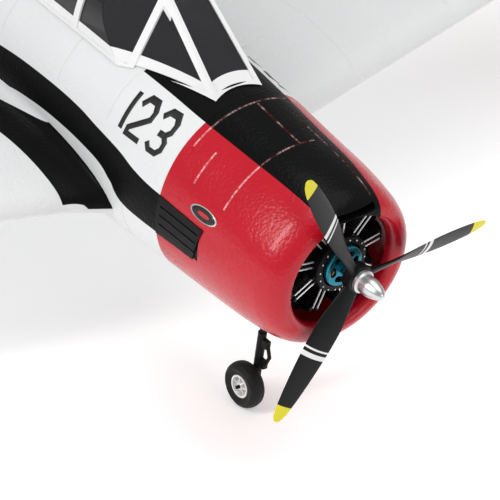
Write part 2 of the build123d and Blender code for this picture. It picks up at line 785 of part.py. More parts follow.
def tail_panel():
    """Whole port tailplane half with its elevator, rounded at the tip."""
    straight = TAIL_HALF_SPAN - TAIL_TIP_ROUND
    faces = [tail_face(0, 0), tail_face(straight, 0)]
    for angle in (32, 56, 74, 84):
        faces.append(tail_face(straight + TAIL_TIP_ROUND * sin(radians(angle)), angle))
    with BuildPart() as half:
        for near, far in zip(faces, faces[1:]):
            loft([near, far])
    return half.part


tail_half = tail_panel()
TAIL_REAR = TAIL_ROOT[0] + TAIL_ROOT[1]

elevator_inner_pin = (at(TAIL_HINGE), 0, up(TAIL_HEIGHT))
elevator_outer_pin = (at(TAIL_HINGE), 26, up(TAIL_HEIGHT))
notch_widening = (TAIL_REAR - TAIL_HINGE) * tan(radians(RUDDER_SWING))

with BuildPart() as elevator:
    add(tail_half)
    with BuildSketch(Plane.XZ.offset(-ELEVATOR_INNER)):
        with BuildLine():
            Polyline(
                (at(TAIL_HINGE + GAP), up(TAIL_HEIGHT)),
                (at(TAIL_HINGE + GAP + 3.4), up(TAIL_HEIGHT + 6)),
                (at(TAIL_REAR + 10), up(TAIL_HEIGHT + 6)),
                (at(TAIL_REAR + 10), up(TAIL_HEIGHT - 6)),
                (at(TAIL_HINGE + GAP + 3.4), up(TAIL_HEIGHT - 6)), close=True,
            )
        make_face()
    extrude(amount=-(TAIL_HALF_SPAN - ELEVATOR_INNER), mode=Mode.INTERSECT)
    with BuildSketch(Plane.XY.offset(up(TAIL_HEIGHT - 10))):
        with BuildLine():
            Polyline(
                (at(TAIL_HINGE), ELEVATOR_INNER - 5), (at(TAIL_REAR + 10), ELEVATOR_INNER - 5),
                (at(TAIL_REAR + 10), ELEVATOR_INNER + 5 + notch_widening),
                (at(TAIL_HINGE + 6), ELEVATOR_INNER), close=True,
            )
        make_face()
    extrude(amount=20, mode=Mode.SUBTRACT)
    add(rod(elevator_inner_pin, elevator_outer_pin, 1.5), mode=Mode.SUBTRACT)

with BuildPart() as elevator_joiner:
    add(rod(elevator_inner_pin, elevator_outer_pin, 1.5))
    mirror(about=Plane.XZ)
save(elevator_joiner, "elevator_joiner")

with BuildPart() as tailplane:
    add(tail_half)
    mirror(tail_half, about=Plane.XZ)
    add(block((TAIL_HINGE - GAP, 1030), (-300, 300), (30, 70)), mode=Mode.SUBTRACT)
    add(block((TAIL_HINGE - 4, 1030), (-27, 27), (30, 70)), mode=Mode.SUBTRACT)
    add(block((TAIL_ROOT[0] - 5, TAIL_ROOT[0] + 5), (-60, 60), (20, 70)), mode=Mode.SUBTRACT)
save(tailplane, "tailplane")

with BuildPart() as rudder:
    with BuildSketch(Plane.XZ):
        with BuildLine():
            hinge_x = at(RUDDER_HINGE + GAP)
            Polyline((hinge_x, up(FIN_TOP - 0.5)), (hinge_x, up(-4)), (at(972), up(2)), (at(1004), up(16)))
            Spline(
                (at(1004), up(16)), (at(RUDDER_REAR), up(40)), (at(RUDDER_REAR), up(150)),
                (at(1009), up(186)), (at(994), up(206)), (hinge_x, up(FIN_TOP - 0.5)),
            )
        make_face()
    extrude(amount=FIN_HALF, both=True)
    with BuildSketch(Plane.XY.offset(up(-20))):
        with BuildLine():
            Polyline(
                (hinge_x, 0), (hinge_x - 3.6, FIN_HALF), (at(RUDDER_REAR), 1.2), (at(RUDDER_REAR), -1.2),
                (hinge_x - 3.6, -FIN_HALF), close=True,
            )
        make_face()
    extrude(amount=FIN_TOP + 40, mode=Mode.INTERSECT)

# Tail linkages: the elevator's lies across the port-starboard axis, the rudder's lies flat
ELEVATOR_LINK_Y = -28.0
elevator_plane = Plane(
    origin=(at(TAIL_HINGE), ELEVATOR_LINK_Y, up(TAIL_HEIGHT)), x_dir=(-1, 0, 0), z_dir=(0, 1, 0)
)
ELEVATOR_HORN = (2.0, -16.0)
ELEVATOR_PIVOT = (-60.0, -16.0)
rudder_plane = Plane(origin=(at(RUDDER_HINGE), 0, up(20)), x_dir=(-1, 0, 0), z_dir=(0, 0, -1))
RUDDER_HORN = (2.0, 16.0)
RUDDER_PIVOT = (-74.0, 14.0)
TAIL_LINKS = [
    ("elevator", elevator_plane, ELEVATOR_HORN, ELEVATOR_PIVOT, (7.0, -2.0)),
    ("rudder", rudder_plane, RUDDER_HORN, RUDDER_PIVOT, (8.0, 1.0)),
]

tail_servo_cases = [servo_solid(elevator_plane, ELEVATOR_PIVOT), servo_solid(rudder_plane, RUDDER_PIVOT)]

with BuildPart() as servo_cases:
    for case in wing_servo_cases:
        add(case)
        mirror(case, about=Plane.XZ)
    for case in tail_servo_cases:
        add(case)
save(servo_cases, "servos")

horns = {}
for name, plane, horn, pivot, root in TAIL_LINKS:
    tip = (pivot[0] + horn[0], pivot[1] + horn[1])
    with BuildPart() as servo_arm:
        add(flat_arm(plane, pivot, tip, ARM_WIDTH, ARM_SHIFT))
    save(servo_arm, f"{name}_servo_arm")
    with BuildPart() as link:
        add(link_rod(plane, horn, tip, ARM_SHIFT))
    save(link, f"{name}_pushrod")
    horns[name] = flat_arm(plane, root, horn, HORN_WIDTH, ARM_SHIFT)

with BuildPart() as elevator_halves:
    add(elevator.part)
    mirror(elevator.part, about=Plane.XZ)
    add(horns["elevator"])
save(elevator_halves, "elevator")

with BuildPart() as rudder_with_horn:
    add(rudder.part)
    add(horns["rudder"])
save(rudder_with_horn, "rudder")

with BuildPart() as fuselage_port:
    add(fuselage.part)
    for case in tail_servo_cases:
        add(case, mode=Mode.SUBTRACT)
    add(wheel_well.part, mode=Mode.SUBTRACT)
    add(block((858, 888), (8, 50), (15.5, 21.5)), mode=Mode.SUBTRACT)
    add(block((943, 953), (5, 16), (17.3, 22.3)), mode=Mode.SUBTRACT)
save(fuselage_port, "fuselage_left")

with BuildPart() as fuselage_starboard:
    mirror(fuselage.part, about=Plane.XZ)
    for case in tail_servo_cases:
        add(case, mode=Mode.SUBTRACT)
    mirror(wheel_well.part, about=Plane.XZ, mode=Mode.SUBTRACT)
    add(block((858, 896), (-50, -23), (10, 26)), mode=Mode.SUBTRACT)
save(fuselage_starboard, "fuselage_right")

# ---------------------------------------------------------------- undercarriage

AXLE_RADIUS = 1.5
TRUNNION_PIN = 2.0
LEG_TOP_RADIUS = 2.5


def tyre(centre, radius, hub_radius, width):
    with BuildPart() as ring:
        with BuildSketch(Plane(origin=centre, x_dir=(1, 0, 0), z_dir=(0, 1, 0))):
            Circle(radius)
            Circle(hub_radius, mode=Mode.SUBTRACT)
        extrude(amount=width / 2, both=True)
        outer = ring.edges().filter_by(GeomType.CIRCLE).group_by(SortBy.LENGTH)[-1]
        fillet(outer, radius=width * 0.34)
    return ring.part


def hub(centre, radius, width):
    """Dished wheel hub with six round openings and a raised boss."""
    plane = Plane(origin=centre, x_dir=(1, 0, 0), z_dir=(0, 1, 0))
    with BuildPart() as wheel:
        with BuildSketch(plane):
            Circle(radius)
            Circle(radius - 1.8, mode=Mode.SUBTRACT)
        extrude(amount=width / 2, both=True)
        with BuildSketch(plane):
            Circle(radius - 1.5)
            with PolarLocations(radius * 0.58, 6):
                Circle(radius * 0.16, mode=Mode.SUBTRACT)
        extrude(amount=width * 0.28, both=True)
        with BuildSketch(plane):
            Circle(radius * 0.36)
        extrude(amount=width / 2, both=True)
        with BuildSketch(plane):
            Circle(AXLE_RADIUS + 0.05)
        extrude(amount=width, both=True, mode=Mode.SUBTRACT)
    return wheel.part


def nose_point(height, y=0.0):
    return (at(NOSE_STATION), y, up(height))


NOSE_LEG_JOINT = -120.0
NOSE_LEG_COLLAR = NOSE_PIVOT - 9.3
nose_wheel_height = NOSE_WHEEL_RADIUS - THRUST_HEIGHT
nose_axle_end = NOSE_WHEEL_Y - NOSE_TYRE_WIDTH / 2 - 1.5

with BuildPart() as nose_retract_unit:
    add(block((NOSE_STATION - 15, NOSE_STATION + 15), (-12, 12), (NOSE_PIVOT + 12, -36)))
    for side in (1, -1):
        cheek = (side * 9.2, side * 12)
        add(block((NOSE_STATION - 7, NOSE_STATION + 7), cheek, (NOSE_PIVOT - 5, NOSE_PIVOT + 12)))
    pin_bore = rod(nose_point(NOSE_PIVOT, -20), nose_point(NOSE_PIVOT, 20), TRUNNION_PIN + 0.05)
    add(pin_bore, mode=Mode.SUBTRACT)
save(nose_retract_unit, "nose_retract_unit")

with BuildPart() as nose_trunnion:
    add(block((NOSE_STATION - 6, NOSE_STATION + 6), (-8.7, 8.7), (NOSE_PIVOT - 9, NOSE_PIVOT + 7)))
    add(rod(nose_point(NOSE_PIVOT, -12), nose_point(NOSE_PIVOT, 12), TRUNNION_PIN))
    leg_bore = rod(nose_point(NOSE_PIVOT - 20), nose_point(NOSE_PIVOT + 20), LEG_TOP_RADIUS + 0.05)
    add(leg_bore, mode=Mode.SUBTRACT)
save(nose_trunnion, "nose_trunnion")

# The leg: upper rod with a collar, lower tube, scissor link in front, and the axle
scissor_knee = (at(NOSE_STATION - 12), 0, up(-134.5))
with BuildPart() as nose_leg:
    add(rod(nose_point(NOSE_PIVOT + 6), nose_point(NOSE_LEG_JOINT), LEG_TOP_RADIUS))
    add(rod(nose_point(NOSE_LEG_COLLAR), nose_point(NOSE_LEG_COLLAR - 5.7), 4.5))
    add(rod(nose_point(NOSE_LEG_JOINT + 4), nose_point(nose_wheel_height - 5), 3.7))
    for low in (-128, -148):
        add(block((NOSE_STATION - 9, NOSE_STATION - 2), (-2.2, 2.2), (low, low + 7)))
    for height in (-124, -145):
        add(rod((at(NOSE_STATION - 8), 0, up(height)), scissor_knee, 1.6))
    add(rod(nose_point(nose_wheel_height, 3), nose_point(nose_wheel_height, nose_axle_end), AXLE_RADIUS))
save(nose_leg, "nose_leg")

nose_centre = nose_point(nose_wheel_height, NOSE_WHEEL_Y)
with BuildPart() as nose_hub:
    add(hub(nose_centre, NOSE_HUB_RADIUS, NOSE_TYRE_WIDTH - 2.5))
save(nose_hub, "nose_hub")

with BuildPart() as nose_tyre:
    add(tyre(nose_centre, NOSE_WHEEL_RADIUS, NOSE_HUB_RADIUS, NOSE_TYRE_WIDTH))
save(nose_tyre, "nose_tyre")


def main_point(height, y=MAIN_PIVOT_Y, shift=0.0):
    return (at(MAIN_STATION + shift), y, up(height))


MAIN_LEG_JOINT = -110.0
main_wheel_height = MAIN_WHEEL_RADIUS - THRUST_HEIGHT
main_axle_end = MAIN_WHEEL_Y - MAIN_TYRE_WIDTH / 2 - 1.5

with BuildPart() as main_retract_units:
    case_sides = (MAIN_PIVOT_Y + 9.5, MAIN_PIVOT_Y + 28)
    cheek_sides = (MAIN_PIVOT_Y - 5, MAIN_PIVOT_Y + 9.5)
    add(block((MAIN_STATION - 17, MAIN_STATION + 17), case_sides, (-26, -10)))
    for side in (1, -1):
        add(block((MAIN_STATION + side * 8.2, MAIN_STATION + side * 12), cheek_sides, (-26, -10)))
    pin_bore = rod(main_point(MAIN_PIVOT, shift=-20), main_point(MAIN_PIVOT, shift=20), TRUNNION_PIN + 0.05)
    add(pin_bore, mode=Mode.SUBTRACT)
    mirror(about=Plane.XZ)
save(main_retract_units, "main_retract_units")

# The leg: trunnion block and pin, upper tube, thinner lower tube, foot and axle
with BuildPart() as main_leg:
    trunnion_sides = (MAIN_PIVOT_Y - 4, MAIN_PIVOT_Y + 5)
    foot_sides = (MAIN_PIVOT_Y - 2.4, MAIN_PIVOT_Y + 3)
    foot_heights = (main_wheel_height - 6, main_wheel_height + 8)
    add(block((MAIN_STATION - 7.8, MAIN_STATION + 7.8), trunnion_sides, (MAIN_PIVOT - 7, MAIN_PIVOT + 4.5)))
    add(rod(main_point(MAIN_PIVOT, shift=-12), main_point(MAIN_PIVOT, shift=12), TRUNNION_PIN))
    add(rod(main_point(MAIN_PIVOT - 5), main_point(MAIN_LEG_JOINT), 3.0))
    add(rod(main_point(MAIN_LEG_JOINT + 6), main_point(main_wheel_height - 4), 2.3))
    add(block((MAIN_STATION - 5, MAIN_STATION + 5), foot_sides, foot_heights))
    axle_start = main_point(main_wheel_height, MAIN_PIVOT_Y + 3)
    add(rod(axle_start, main_point(main_wheel_height, main_axle_end), AXLE_RADIUS))
both_sides(main_leg, "main_leg")

main_centre = main_point(main_wheel_height, MAIN_WHEEL_Y)
with BuildPart() as main_hub:
    add(hub(main_centre, MAIN_HUB_RADIUS, MAIN_TYRE_WIDTH - 3.0))
both_sides(main_hub, "main_hub")

with BuildPart() as main_tyre:
    add(tyre(main_centre, MAIN_WHEEL_RADIUS, MAIN_HUB_RADIUS, MAIN_TYRE_WIDTH))
both_sides(main_tyre, "main_tyre")

# ---------------------------------------------------------------- canopy

# Arch: station, half width, crown height; the arch springs from CANOPY_BASE
CANOPY_BASE = 50.0
CANOPY_SECTIONS = [
    (150, 52.0, 133.0),
    (250, 52.5, 135.0),
    (340, 52.5, 136.0),
    (430, 49.0, 131.0),
    (500, 41.0, 118.0),
    (555, 31.0, 99.0),
    (585, 24.0, 86.0),
]
PANE_CORNER = (158.0, 23.5, 75.5)
PANE_TOP = (230.0, 19.0, 126.0)
SIDE_PANE_END = (230.0, 50.0, 61.0)
ARCH_POWER = 0.85
FRAME_WALL = 1.8
GLASS_WALL = 1.3


def spot(place, side=1):
    """Point at a station, side and height, or its mirror image for side -1."""
    return Vector(at(place[0]), place[1] * side, up(place[2]))


def arch_line(half_width, crown, inset):
    """Canopy arch over the base line, pulled in by inset."""
    rise = crown - inset - CANOPY_BASE
    reach = half_width - inset
    points = []
    for step in range(9):
        turn = radians(22.5 * step)
        across = copysign(reach * abs(cos(turn)) ** ARCH_POWER, cos(turn)) if step != 4 else 0
        points.append((across, up(CANOPY_BASE + rise * sin(turn) ** ARCH_POWER)))
    Spline(*points)
    Line(points[-1], points[0])


def pane_plane(first, second, third, inset):
    """Plane through three points that faces forward, pulled back by inset."""
    normal = (second - first).cross(third - first).normalized()
    normal = normal if normal.X > 0 else normal * -1
    return Plane(origin=first - normal * inset, z_dir=normal)


def canopy_solid(inset):
    """Canopy arch with the raked windscreen's three flat panes, pulled in by inset."""
    with BuildPart() as arch:
        for station, half_width, crown in CANOPY_SECTIONS:
            with BuildSketch(Plane.YZ.offset(at(station))):
                with BuildLine():
                    arch_line(half_width, crown, inset)
                make_face()
        loft()
        across = spot(PANE_CORNER, -1)
        split(bisect_by=pane_plane(spot(PANE_CORNER), spot(PANE_TOP), across, inset), keep=Keep.BOTTOM)
        for side in (1, -1):
            corner = spot(PANE_CORNER, side)
            side_pane = pane_plane(corner, spot(PANE_TOP, side), spot(SIDE_PANE_END, side), inset)
            split(bisect_by=side_pane, keep=Keep.BOTTOM)
    return arch.part


canopy_outside = canopy_solid(0.0)
RIBS = (238.0, 306.0, 374.0, 442.0)
RIB_HALF = 3.2
SILL_TOP = 71.0

with BuildPart() as bars:
    add(block((140, 600), (-60, 60), (40, SILL_TOP)))
    add(block((506, 600), (-60, 60), (40, 150)))
    for station in RIBS:
        add(block((station - RIB_HALF, station + RIB_HALF), (-60, 60), (40, 150)))
    for side in (1, -1):
        add(block((225, 600), (side * 16, side * 22), (100, 150)))
        post_start = (at(PANE_CORNER[0] - 6), PANE_CORNER[1] * side * 1.02, up(PANE_CORNER[2] - 4))
        post_end = (at(PANE_TOP[0] + 12), PANE_TOP[1] * side, up(PANE_TOP[2] + 8))
        add(rod(post_start, post_end, 4.2))
        sill_start = (at(PANE_CORNER[0] - 4), PANE_CORNER[1] * side, up(PANE_CORNER[2]))
        sill_end = (at(SIDE_PANE_END[0]), SIDE_PANE_END[1] * side, up(SIDE_PANE_END[2] + 4))
        add(rod(sill_start, sill_end, 7.5))
    add(rod((at(PANE_CORNER[0]), -30, up(PANE_CORNER[2])), (at(PANE_CORNER[0]), 30, up(PANE_CORNER[2])), 8.5))

with BuildPart() as canopy_frame:
    add(canopy_outside)
    add(canopy_solid(FRAME_WALL), mode=Mode.SUBTRACT)
    add(bars.part, mode=Mode.INTERSECT)
    add(hull_gap, mode=Mode.SUBTRACT)
save(canopy_frame, "canopy_frame")

with BuildPart() as canopy_glass:
    add(canopy_solid(FRAME_WALL + 0.05))
    add(canopy_solid(FRAME_WALL + GLASS_WALL), mode=Mode.SUBTRACT)
    add(hull_gap, mode=Mode.SUBTRACT)
    add(block((520, 620), (-60, 60), (30, 150)), mode=Mode.SUBTRACT)
save(canopy_glass, "canopy_glass")

with BuildPart() as cockpit_tub:
    add(block((234, 494), (-29, 29), (68, 83)))
    add(block((236.5, 491.5), (-26.5, 26.5), (70, 84)), mode=Mode.SUBTRACT)
    for station in (292, 418):
        add(block((station, station + 24), (-16, 16), (69, 78)))
        add(block((station + 20, station + 26), (-14, 14), (69, 106)))
        add(block((station - 50, station - 45), (-22, 22), (69, 95)))
save(cockpit_tub, "cockpit_tub")
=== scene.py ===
import json
from functools import reduce
from math import asin, atan, copysign, cos, pi, radians, sin, sqrt, tan

import bmesh
import bpy
from mathutils import Matrix, Vector


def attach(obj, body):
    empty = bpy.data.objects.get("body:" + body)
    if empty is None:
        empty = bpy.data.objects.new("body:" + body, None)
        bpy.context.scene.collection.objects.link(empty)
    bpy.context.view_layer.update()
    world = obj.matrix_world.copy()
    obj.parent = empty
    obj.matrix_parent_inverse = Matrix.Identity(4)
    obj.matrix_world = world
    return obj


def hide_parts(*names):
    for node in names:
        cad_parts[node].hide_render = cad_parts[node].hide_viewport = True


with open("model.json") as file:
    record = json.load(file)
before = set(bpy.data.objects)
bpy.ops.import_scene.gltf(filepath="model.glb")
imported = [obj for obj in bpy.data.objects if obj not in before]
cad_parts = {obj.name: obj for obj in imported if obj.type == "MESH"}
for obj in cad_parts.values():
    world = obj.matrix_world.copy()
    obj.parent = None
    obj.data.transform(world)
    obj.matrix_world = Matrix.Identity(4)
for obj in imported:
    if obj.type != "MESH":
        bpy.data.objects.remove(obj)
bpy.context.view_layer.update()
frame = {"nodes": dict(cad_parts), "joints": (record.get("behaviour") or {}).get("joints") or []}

# Looks of a foam radio-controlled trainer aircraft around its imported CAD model.
# "station" is mm aft of the propeller hub, "side" is mm to port, "height" is mm
# above the thrust line.
MM = 0.001
JOINTS = {joint["name"]: joint for joint in frame["joints"]}
HUB = Vector(JOINTS["propeller_spin"]["pos_m"])
NODES = frame["nodes"]


def place(station, side, height):
    return Vector((HUB.x - station * MM, side * MM, HUB.z + height * MM))


# ---------------------------------------------------------------- shapes shared with the CAD

# station, half width, top height, bottom height, squareness
COWL_TABLE = [
    (13.5, 58.0, 47.0, -61.5, 2.0),
    (14.3, 61.5, 50.3, -65.0, 2.0),
    (16.5, 65.3, 54.2, -68.8, 2.0),
    (20.5, 68.8, 57.6, -72.3, 2.0),
    (26.0, 71.2, 60.3, -75.0, 2.0),
    (34.0, 73.5, 63.0, -77.4, 2.0),
    (62.0, 76.8, 68.8, -81.2, 2.0),
    (104.0, 78.0, 72.7, -83.3, 2.05),
    (150.0, 79.0, 77.5, -85.0, 2.1),
]
HULL_TABLE = [
    (150.0, 79.0, 77.5, -85.0, 2.1),
    (200.0, 80.0, 81.0, -87.5, 2.2),
    (270.0, 79.5, 83.0, -90.0, 2.3),
    (350.0, 77.5, 84.0, -91.0, 2.35),
    (430.0, 74.0, 84.0, -89.0, 2.35),
    (510.0, 68.0, 84.0, -84.0, 2.3),
    (600.0, 58.5, 82.0, -73.0, 2.25),
    (700.0, 47.0, 77.5, -57.0, 2.2),
    (800.0, 35.0, 71.5, -38.0, 2.15),
    (880.0, 23.0, 66.5, -21.0, 2.1),
    (949.0, 8.0, 62.0, -5.0, 2.05),
]
ROOT_Y, TIP_Y, HALF_SPAN = 77.0, 600.0, 635.0
ROOT_LE, TIP_LE = 216.0, 271.0
ROOT_CHORD, TIP_CHORD = 289.0, 144.0
ROOT_HEIGHT, DIHEDRAL = -38.0, 8.0
GLOVE_Y, GLOVE_SWEEP, GLOVE_START = 114.0, 16.0, 40.0
WING_THICKNESS, WING_CAMBER = 0.15, 0.02
HINGE_SHARE = 0.75
FLAP_Y = (118.0, 318.0)
AILERON_Y = (321.0, 585.0)
HINGE_GAP = 0.25
FOAM = 9.0


def smooth_row(table, station):
    """Values of a table at a station, by a cubic through its rows."""
    low = max(index for index in range(len(table) - 1) if index == 0 or table[index][0] <= station)
    left, right = table[low], table[low + 1]
    before = table[max(low - 1, 0)]
    after = table[min(low + 2, len(table) - 1)]
    span = right[0] - left[0]
    share = (station - left[0]) / span
    values = []
    for column in range(1, len(left)):
        slope_left = (right[column] - before[column]) / (right[0] - before[0])
        slope_right = (after[column] - left[column]) / (after[0] - left[0])
        values.append(
            (2 * share**3 - 3 * share**2 + 1) * left[column]
            + (share**3 - 2 * share**2 + share) * span * slope_left
            + (3 * share**2 - 2 * share**3) * right[column]
            + (share**3 - share**2) * span * slope_right
        )
    return values


def ring_point(table, station, angle, inset=0.0):
    """Side and height of a section at an angle, from -90 at the keel to 90 at the spine."""
    half_width, top, bottom, power = smooth_row(table, station)
    reach = max(half_width - inset, 0.6)
    rise = max((top - bottom) / 2 - inset, 0.6)
    across = copysign(reach * abs(cos(angle)) ** (2 / power), cos(angle))
    lift = copysign(rise * abs(sin(angle)) ** (2 / power), sin(angle))
    return across, (top + bottom) / 2 + lift


def hull_side(station, height):
    """Half width of the fuselage or cowl at a station and height."""
    table = HULL_TABLE if station >= HULL_TABLE[0][0] else COWL_TABLE
    half_width, top, bottom, power = smooth_row(table, station)
    share = min(abs(height - (top + bottom) / 2) / ((top - bottom) / 2), 1.0)
    return half_width * (1 - share**power) ** (1 / power)


def chord_line(y):
    """Leading edge station, chord and height of the wing's chord line at a side."""
    share = (y - ROOT_Y) / (TIP_Y - ROOT_Y)
    lead = ROOT_LE + (TIP_LE - ROOT_LE) * share
    chord = ROOT_CHORD + (TIP_CHORD - ROOT_CHORD) * share
    return lead, chord, ROOT_HEIGHT + tan(radians(DIHEDRAL)) * (y - ROOT_Y)


def skin(share, thickness, camber, upper):
    """Height of the aerofoil's skin as a share of the chord."""
    half = 5 * thickness * (
        0.2969 * sqrt(share) - 0.126 * share - 0.3516 * share**2 + 0.2843 * share**3 - 0.1015 * share**4
    )
    peak = 0.4
    if share < peak:
        mean = camber / peak**2 * (2 * peak * share - share**2)
    else:
        mean = camber / (1 - peak) ** 2 * (1 - 2 * peak + 2 * peak * share - share**2)
    return mean + half if upper else mean - half


def wing_section(y):
    """Leading edge station, chord, height and thickness of the wing at a side."""
    lead, chord, height = chord_line(y)
    if y < GLOVE_Y:
        grow = GLOVE_SWEEP * (GLOVE_Y - y) / (GLOVE_Y - GLOVE_START)
        return lead - grow, chord + grow, height, WING_THICKNESS
    if y <= TIP_Y:
        return lead, chord, height, WING_THICKNESS
    turn = asin(min((y - TIP_Y) / (HALF_SPAN - TIP_Y), 1.0))
    narrow = 0.45 + 0.55 * cos(turn)
    thin = WING_THICKNESS * (0.12 + 0.88 * cos(turn)) / narrow
    return lead + chord * (1 - narrow) * 0.62, chord * narrow, height, thin


def wing_height(station, y, upper):
    """Height of the wing's skin at a station and side."""
    lead, chord, height, thickness = wing_section(y)
    share = min(max((station - lead) / chord, 0.0), 1.0)
    return height + chord * skin(share, thickness, WING_CAMBER, upper)


# ---------------------------------------------------------------- mesh helpers

SHARP_ANGLE = 35.0
CARVED_SHARP_ANGLE = 30.0
WELD = 1e-6


def linked(name, data):
    """Object in the scene from a mesh, a light or a camera."""
    made = bpy.data.objects.new(name, data)
    bpy.context.scene.collection.objects.link(made)
    return made


def new_piece(name, mesh, materials, body, replaces=()):
    """Object from a mesh, with its materials, riding on a body."""
    piece = linked(name, mesh)
    # Clearing the materials resets each face's slot, so the slots are put back.
    slots = [face.material_index for face in mesh.polygons]
    mesh.materials.clear()
    for material in materials:
        mesh.materials.append(material)
    mesh.polygons.foreach_set("material_index", slots)
    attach(piece, body)
    if replaces:
        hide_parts(*replaces)
    return piece


def quad_mesh(name, rows, loop=False, caps=False, slot_of=None):
    """Mesh through rows of points; loop closes each row, caps close the ends."""
    mesh = bpy.data.meshes.new(name)
    width = len(rows[0])
    points = [point for row in rows for point in row]
    faces = []
    slots = []
    columns = width if loop else width - 1
    for row in range(len(rows) - 1):
        for column in range(columns):
            beside = (column + 1) % width
            faces.append((row * width + column, row * width + beside,
                          (row + 1) * width + beside, (row + 1) * width + column))
            slots.append(slot_of(row, column) if slot_of else 0)
    if caps:
        last = (len(rows) - 1) * width
        faces.append(tuple(range(width))[::-1])
        faces.append(tuple(range(last, last + width)))
        slots += [0, 0]
    mesh.from_pydata(points, [], faces)
    # Empty slots let the faces' slots survive a boolean.
    for _ in range(max(slots) + 1):
        mesh.materials.append(None)
    mesh.polygons.foreach_set("material_index", slots)
    tidy_normals(mesh)
    return mesh


def shade(mesh, sharp=SHARP_ANGLE):
    """Smooth shading except across edges sharper than an angle in degrees."""
    mesh.polygons.foreach_set("use_smooth", [True] * len(mesh.polygons))
    mesh.set_sharp_from_angle(angle=radians(sharp))


def tidy_normals(mesh, weld=0.0):
    """Outward faces; points nearer than weld are joined first."""
    work = bmesh.new()
    work.from_mesh(mesh)
    if weld:
        bmesh.ops.remove_doubles(work, verts=work.verts, dist=weld)
    bmesh.ops.recalc_face_normals(work, faces=work.faces)
    work.to_mesh(mesh)
    work.free()
    shade(mesh)


def merged(name, meshes):
    """One mesh from several, which keep their own faces' material slots."""
    work = bmesh.new()
    for mesh in meshes:
        work.from_mesh(mesh)
    joined = bpy.data.meshes.new(name)
    work.to_mesh(joined)
    work.free()
    for mesh in meshes:
        bpy.data.meshes.remove(mesh)
    joined.set_sharp_from_angle(angle=radians(SHARP_ANGLE))
    return joined


def mirrored(name, mesh):
    """Copy of a mesh on the other side of the centre plane."""
    twin = mesh.copy()
    twin.name = name
    twin.transform(Matrix.Scale(-1, 4, (0, 1, 0)))
    twin.flip_normals()
    return twin


def evaluated(piece):
    """Mesh of an object with its modifiers applied."""
    graph = bpy.context.evaluated_depsgraph_get()
    result = bpy.data.meshes.new_from_object(piece.evaluated_get(graph))
    result.name = piece.data.name
    return result


def carve(mesh, cutters, operation="DIFFERENCE"):
    """Mesh cut by, or kept inside, each closed cutter mesh in turn."""
    piece = linked(mesh.name, mesh)
    tools = [linked(cutter.name, cutter) for cutter in cutters]
    for tool in tools:
        cut = piece.modifiers.new(tool.name, "BOOLEAN")
        cut.operation = operation
        cut.solver = "EXACT"
        cut.object = tool
    result = evaluated(piece)
    for item in [piece] + tools:
        bpy.data.objects.remove(item)
    shade(result, CARVED_SHARP_ANGLE)
    return result


def finished(mesh, *modifiers):
    """Mesh with modifiers applied; each is a type and its settings."""
    piece = linked(mesh.name, mesh)
    for kind, settings in modifiers:
        modifier = piece.modifiers.new(kind, kind)
        for key, value in settings.items():
            setattr(modifier, key, value)
    result = evaluated(piece)
    bpy.data.objects.remove(piece)
    return result


def box_mesh(name, stations, sides, heights, rounding=0.0):
    """Box between stations, sides and heights, with rounded edges if asked."""
    work = bmesh.new()
    bmesh.ops.create_cube(work, size=1.0)
    low = place(max(stations), min(sides), min(heights))
    high = place(min(stations), max(sides), max(heights))
    for vertex in work.verts:
        vertex.co = (low + high) / 2 + Vector(a * b for a, b in zip(vertex.co, high - low))
    if rounding:
        bmesh.ops.bevel(work, geom=list(work.edges), offset=rounding * MM, segments=3,
                        affect="EDGES", profile=0.5)
    mesh = bpy.data.meshes.new(name)
    work.to_mesh(mesh)
    work.free()
    tidy_normals(mesh)
    return mesh


def spun(name, profile, centre, axis, steps, loop=False):
    """Profile of (along, radius) points in mm turned about an axis through centre."""
    axis = Vector(axis).normalized()
    across = axis.orthogonal().normalized()
    third = axis.cross(across)
    rows = []
    for step in range(steps):
        turn = 2 * pi * step / steps
        outward = across * cos(turn) + third * sin(turn)
        rows.append([centre + axis * along * MM + outward * radius * MM for along, radius in profile])
    rows.append(rows[0])
    mesh = quad_mesh(name, rows, loop=loop)
    tidy_normals(mesh, WELD)
    return mesh


def cylinder_mesh(name, start, end, radius, steps=32, rounding=0.3):
    """Round bar between two points, with softened ends."""
    length = (end - start).length / MM
    soft = min(rounding, radius / 2, length / 3)
    profile = [(0, 0), (0, radius - soft), (soft, radius),
               (length - soft, radius), (length, radius - soft), (length, 0)]
    return spun(name, profile, start, end - start, steps)


# ---------------------------------------------------------------- materials

EDGE_SOFTNESS = 0.25
BEAD_SMOOTHNESS = 0.35
WAVE_PERIOD = 0.32


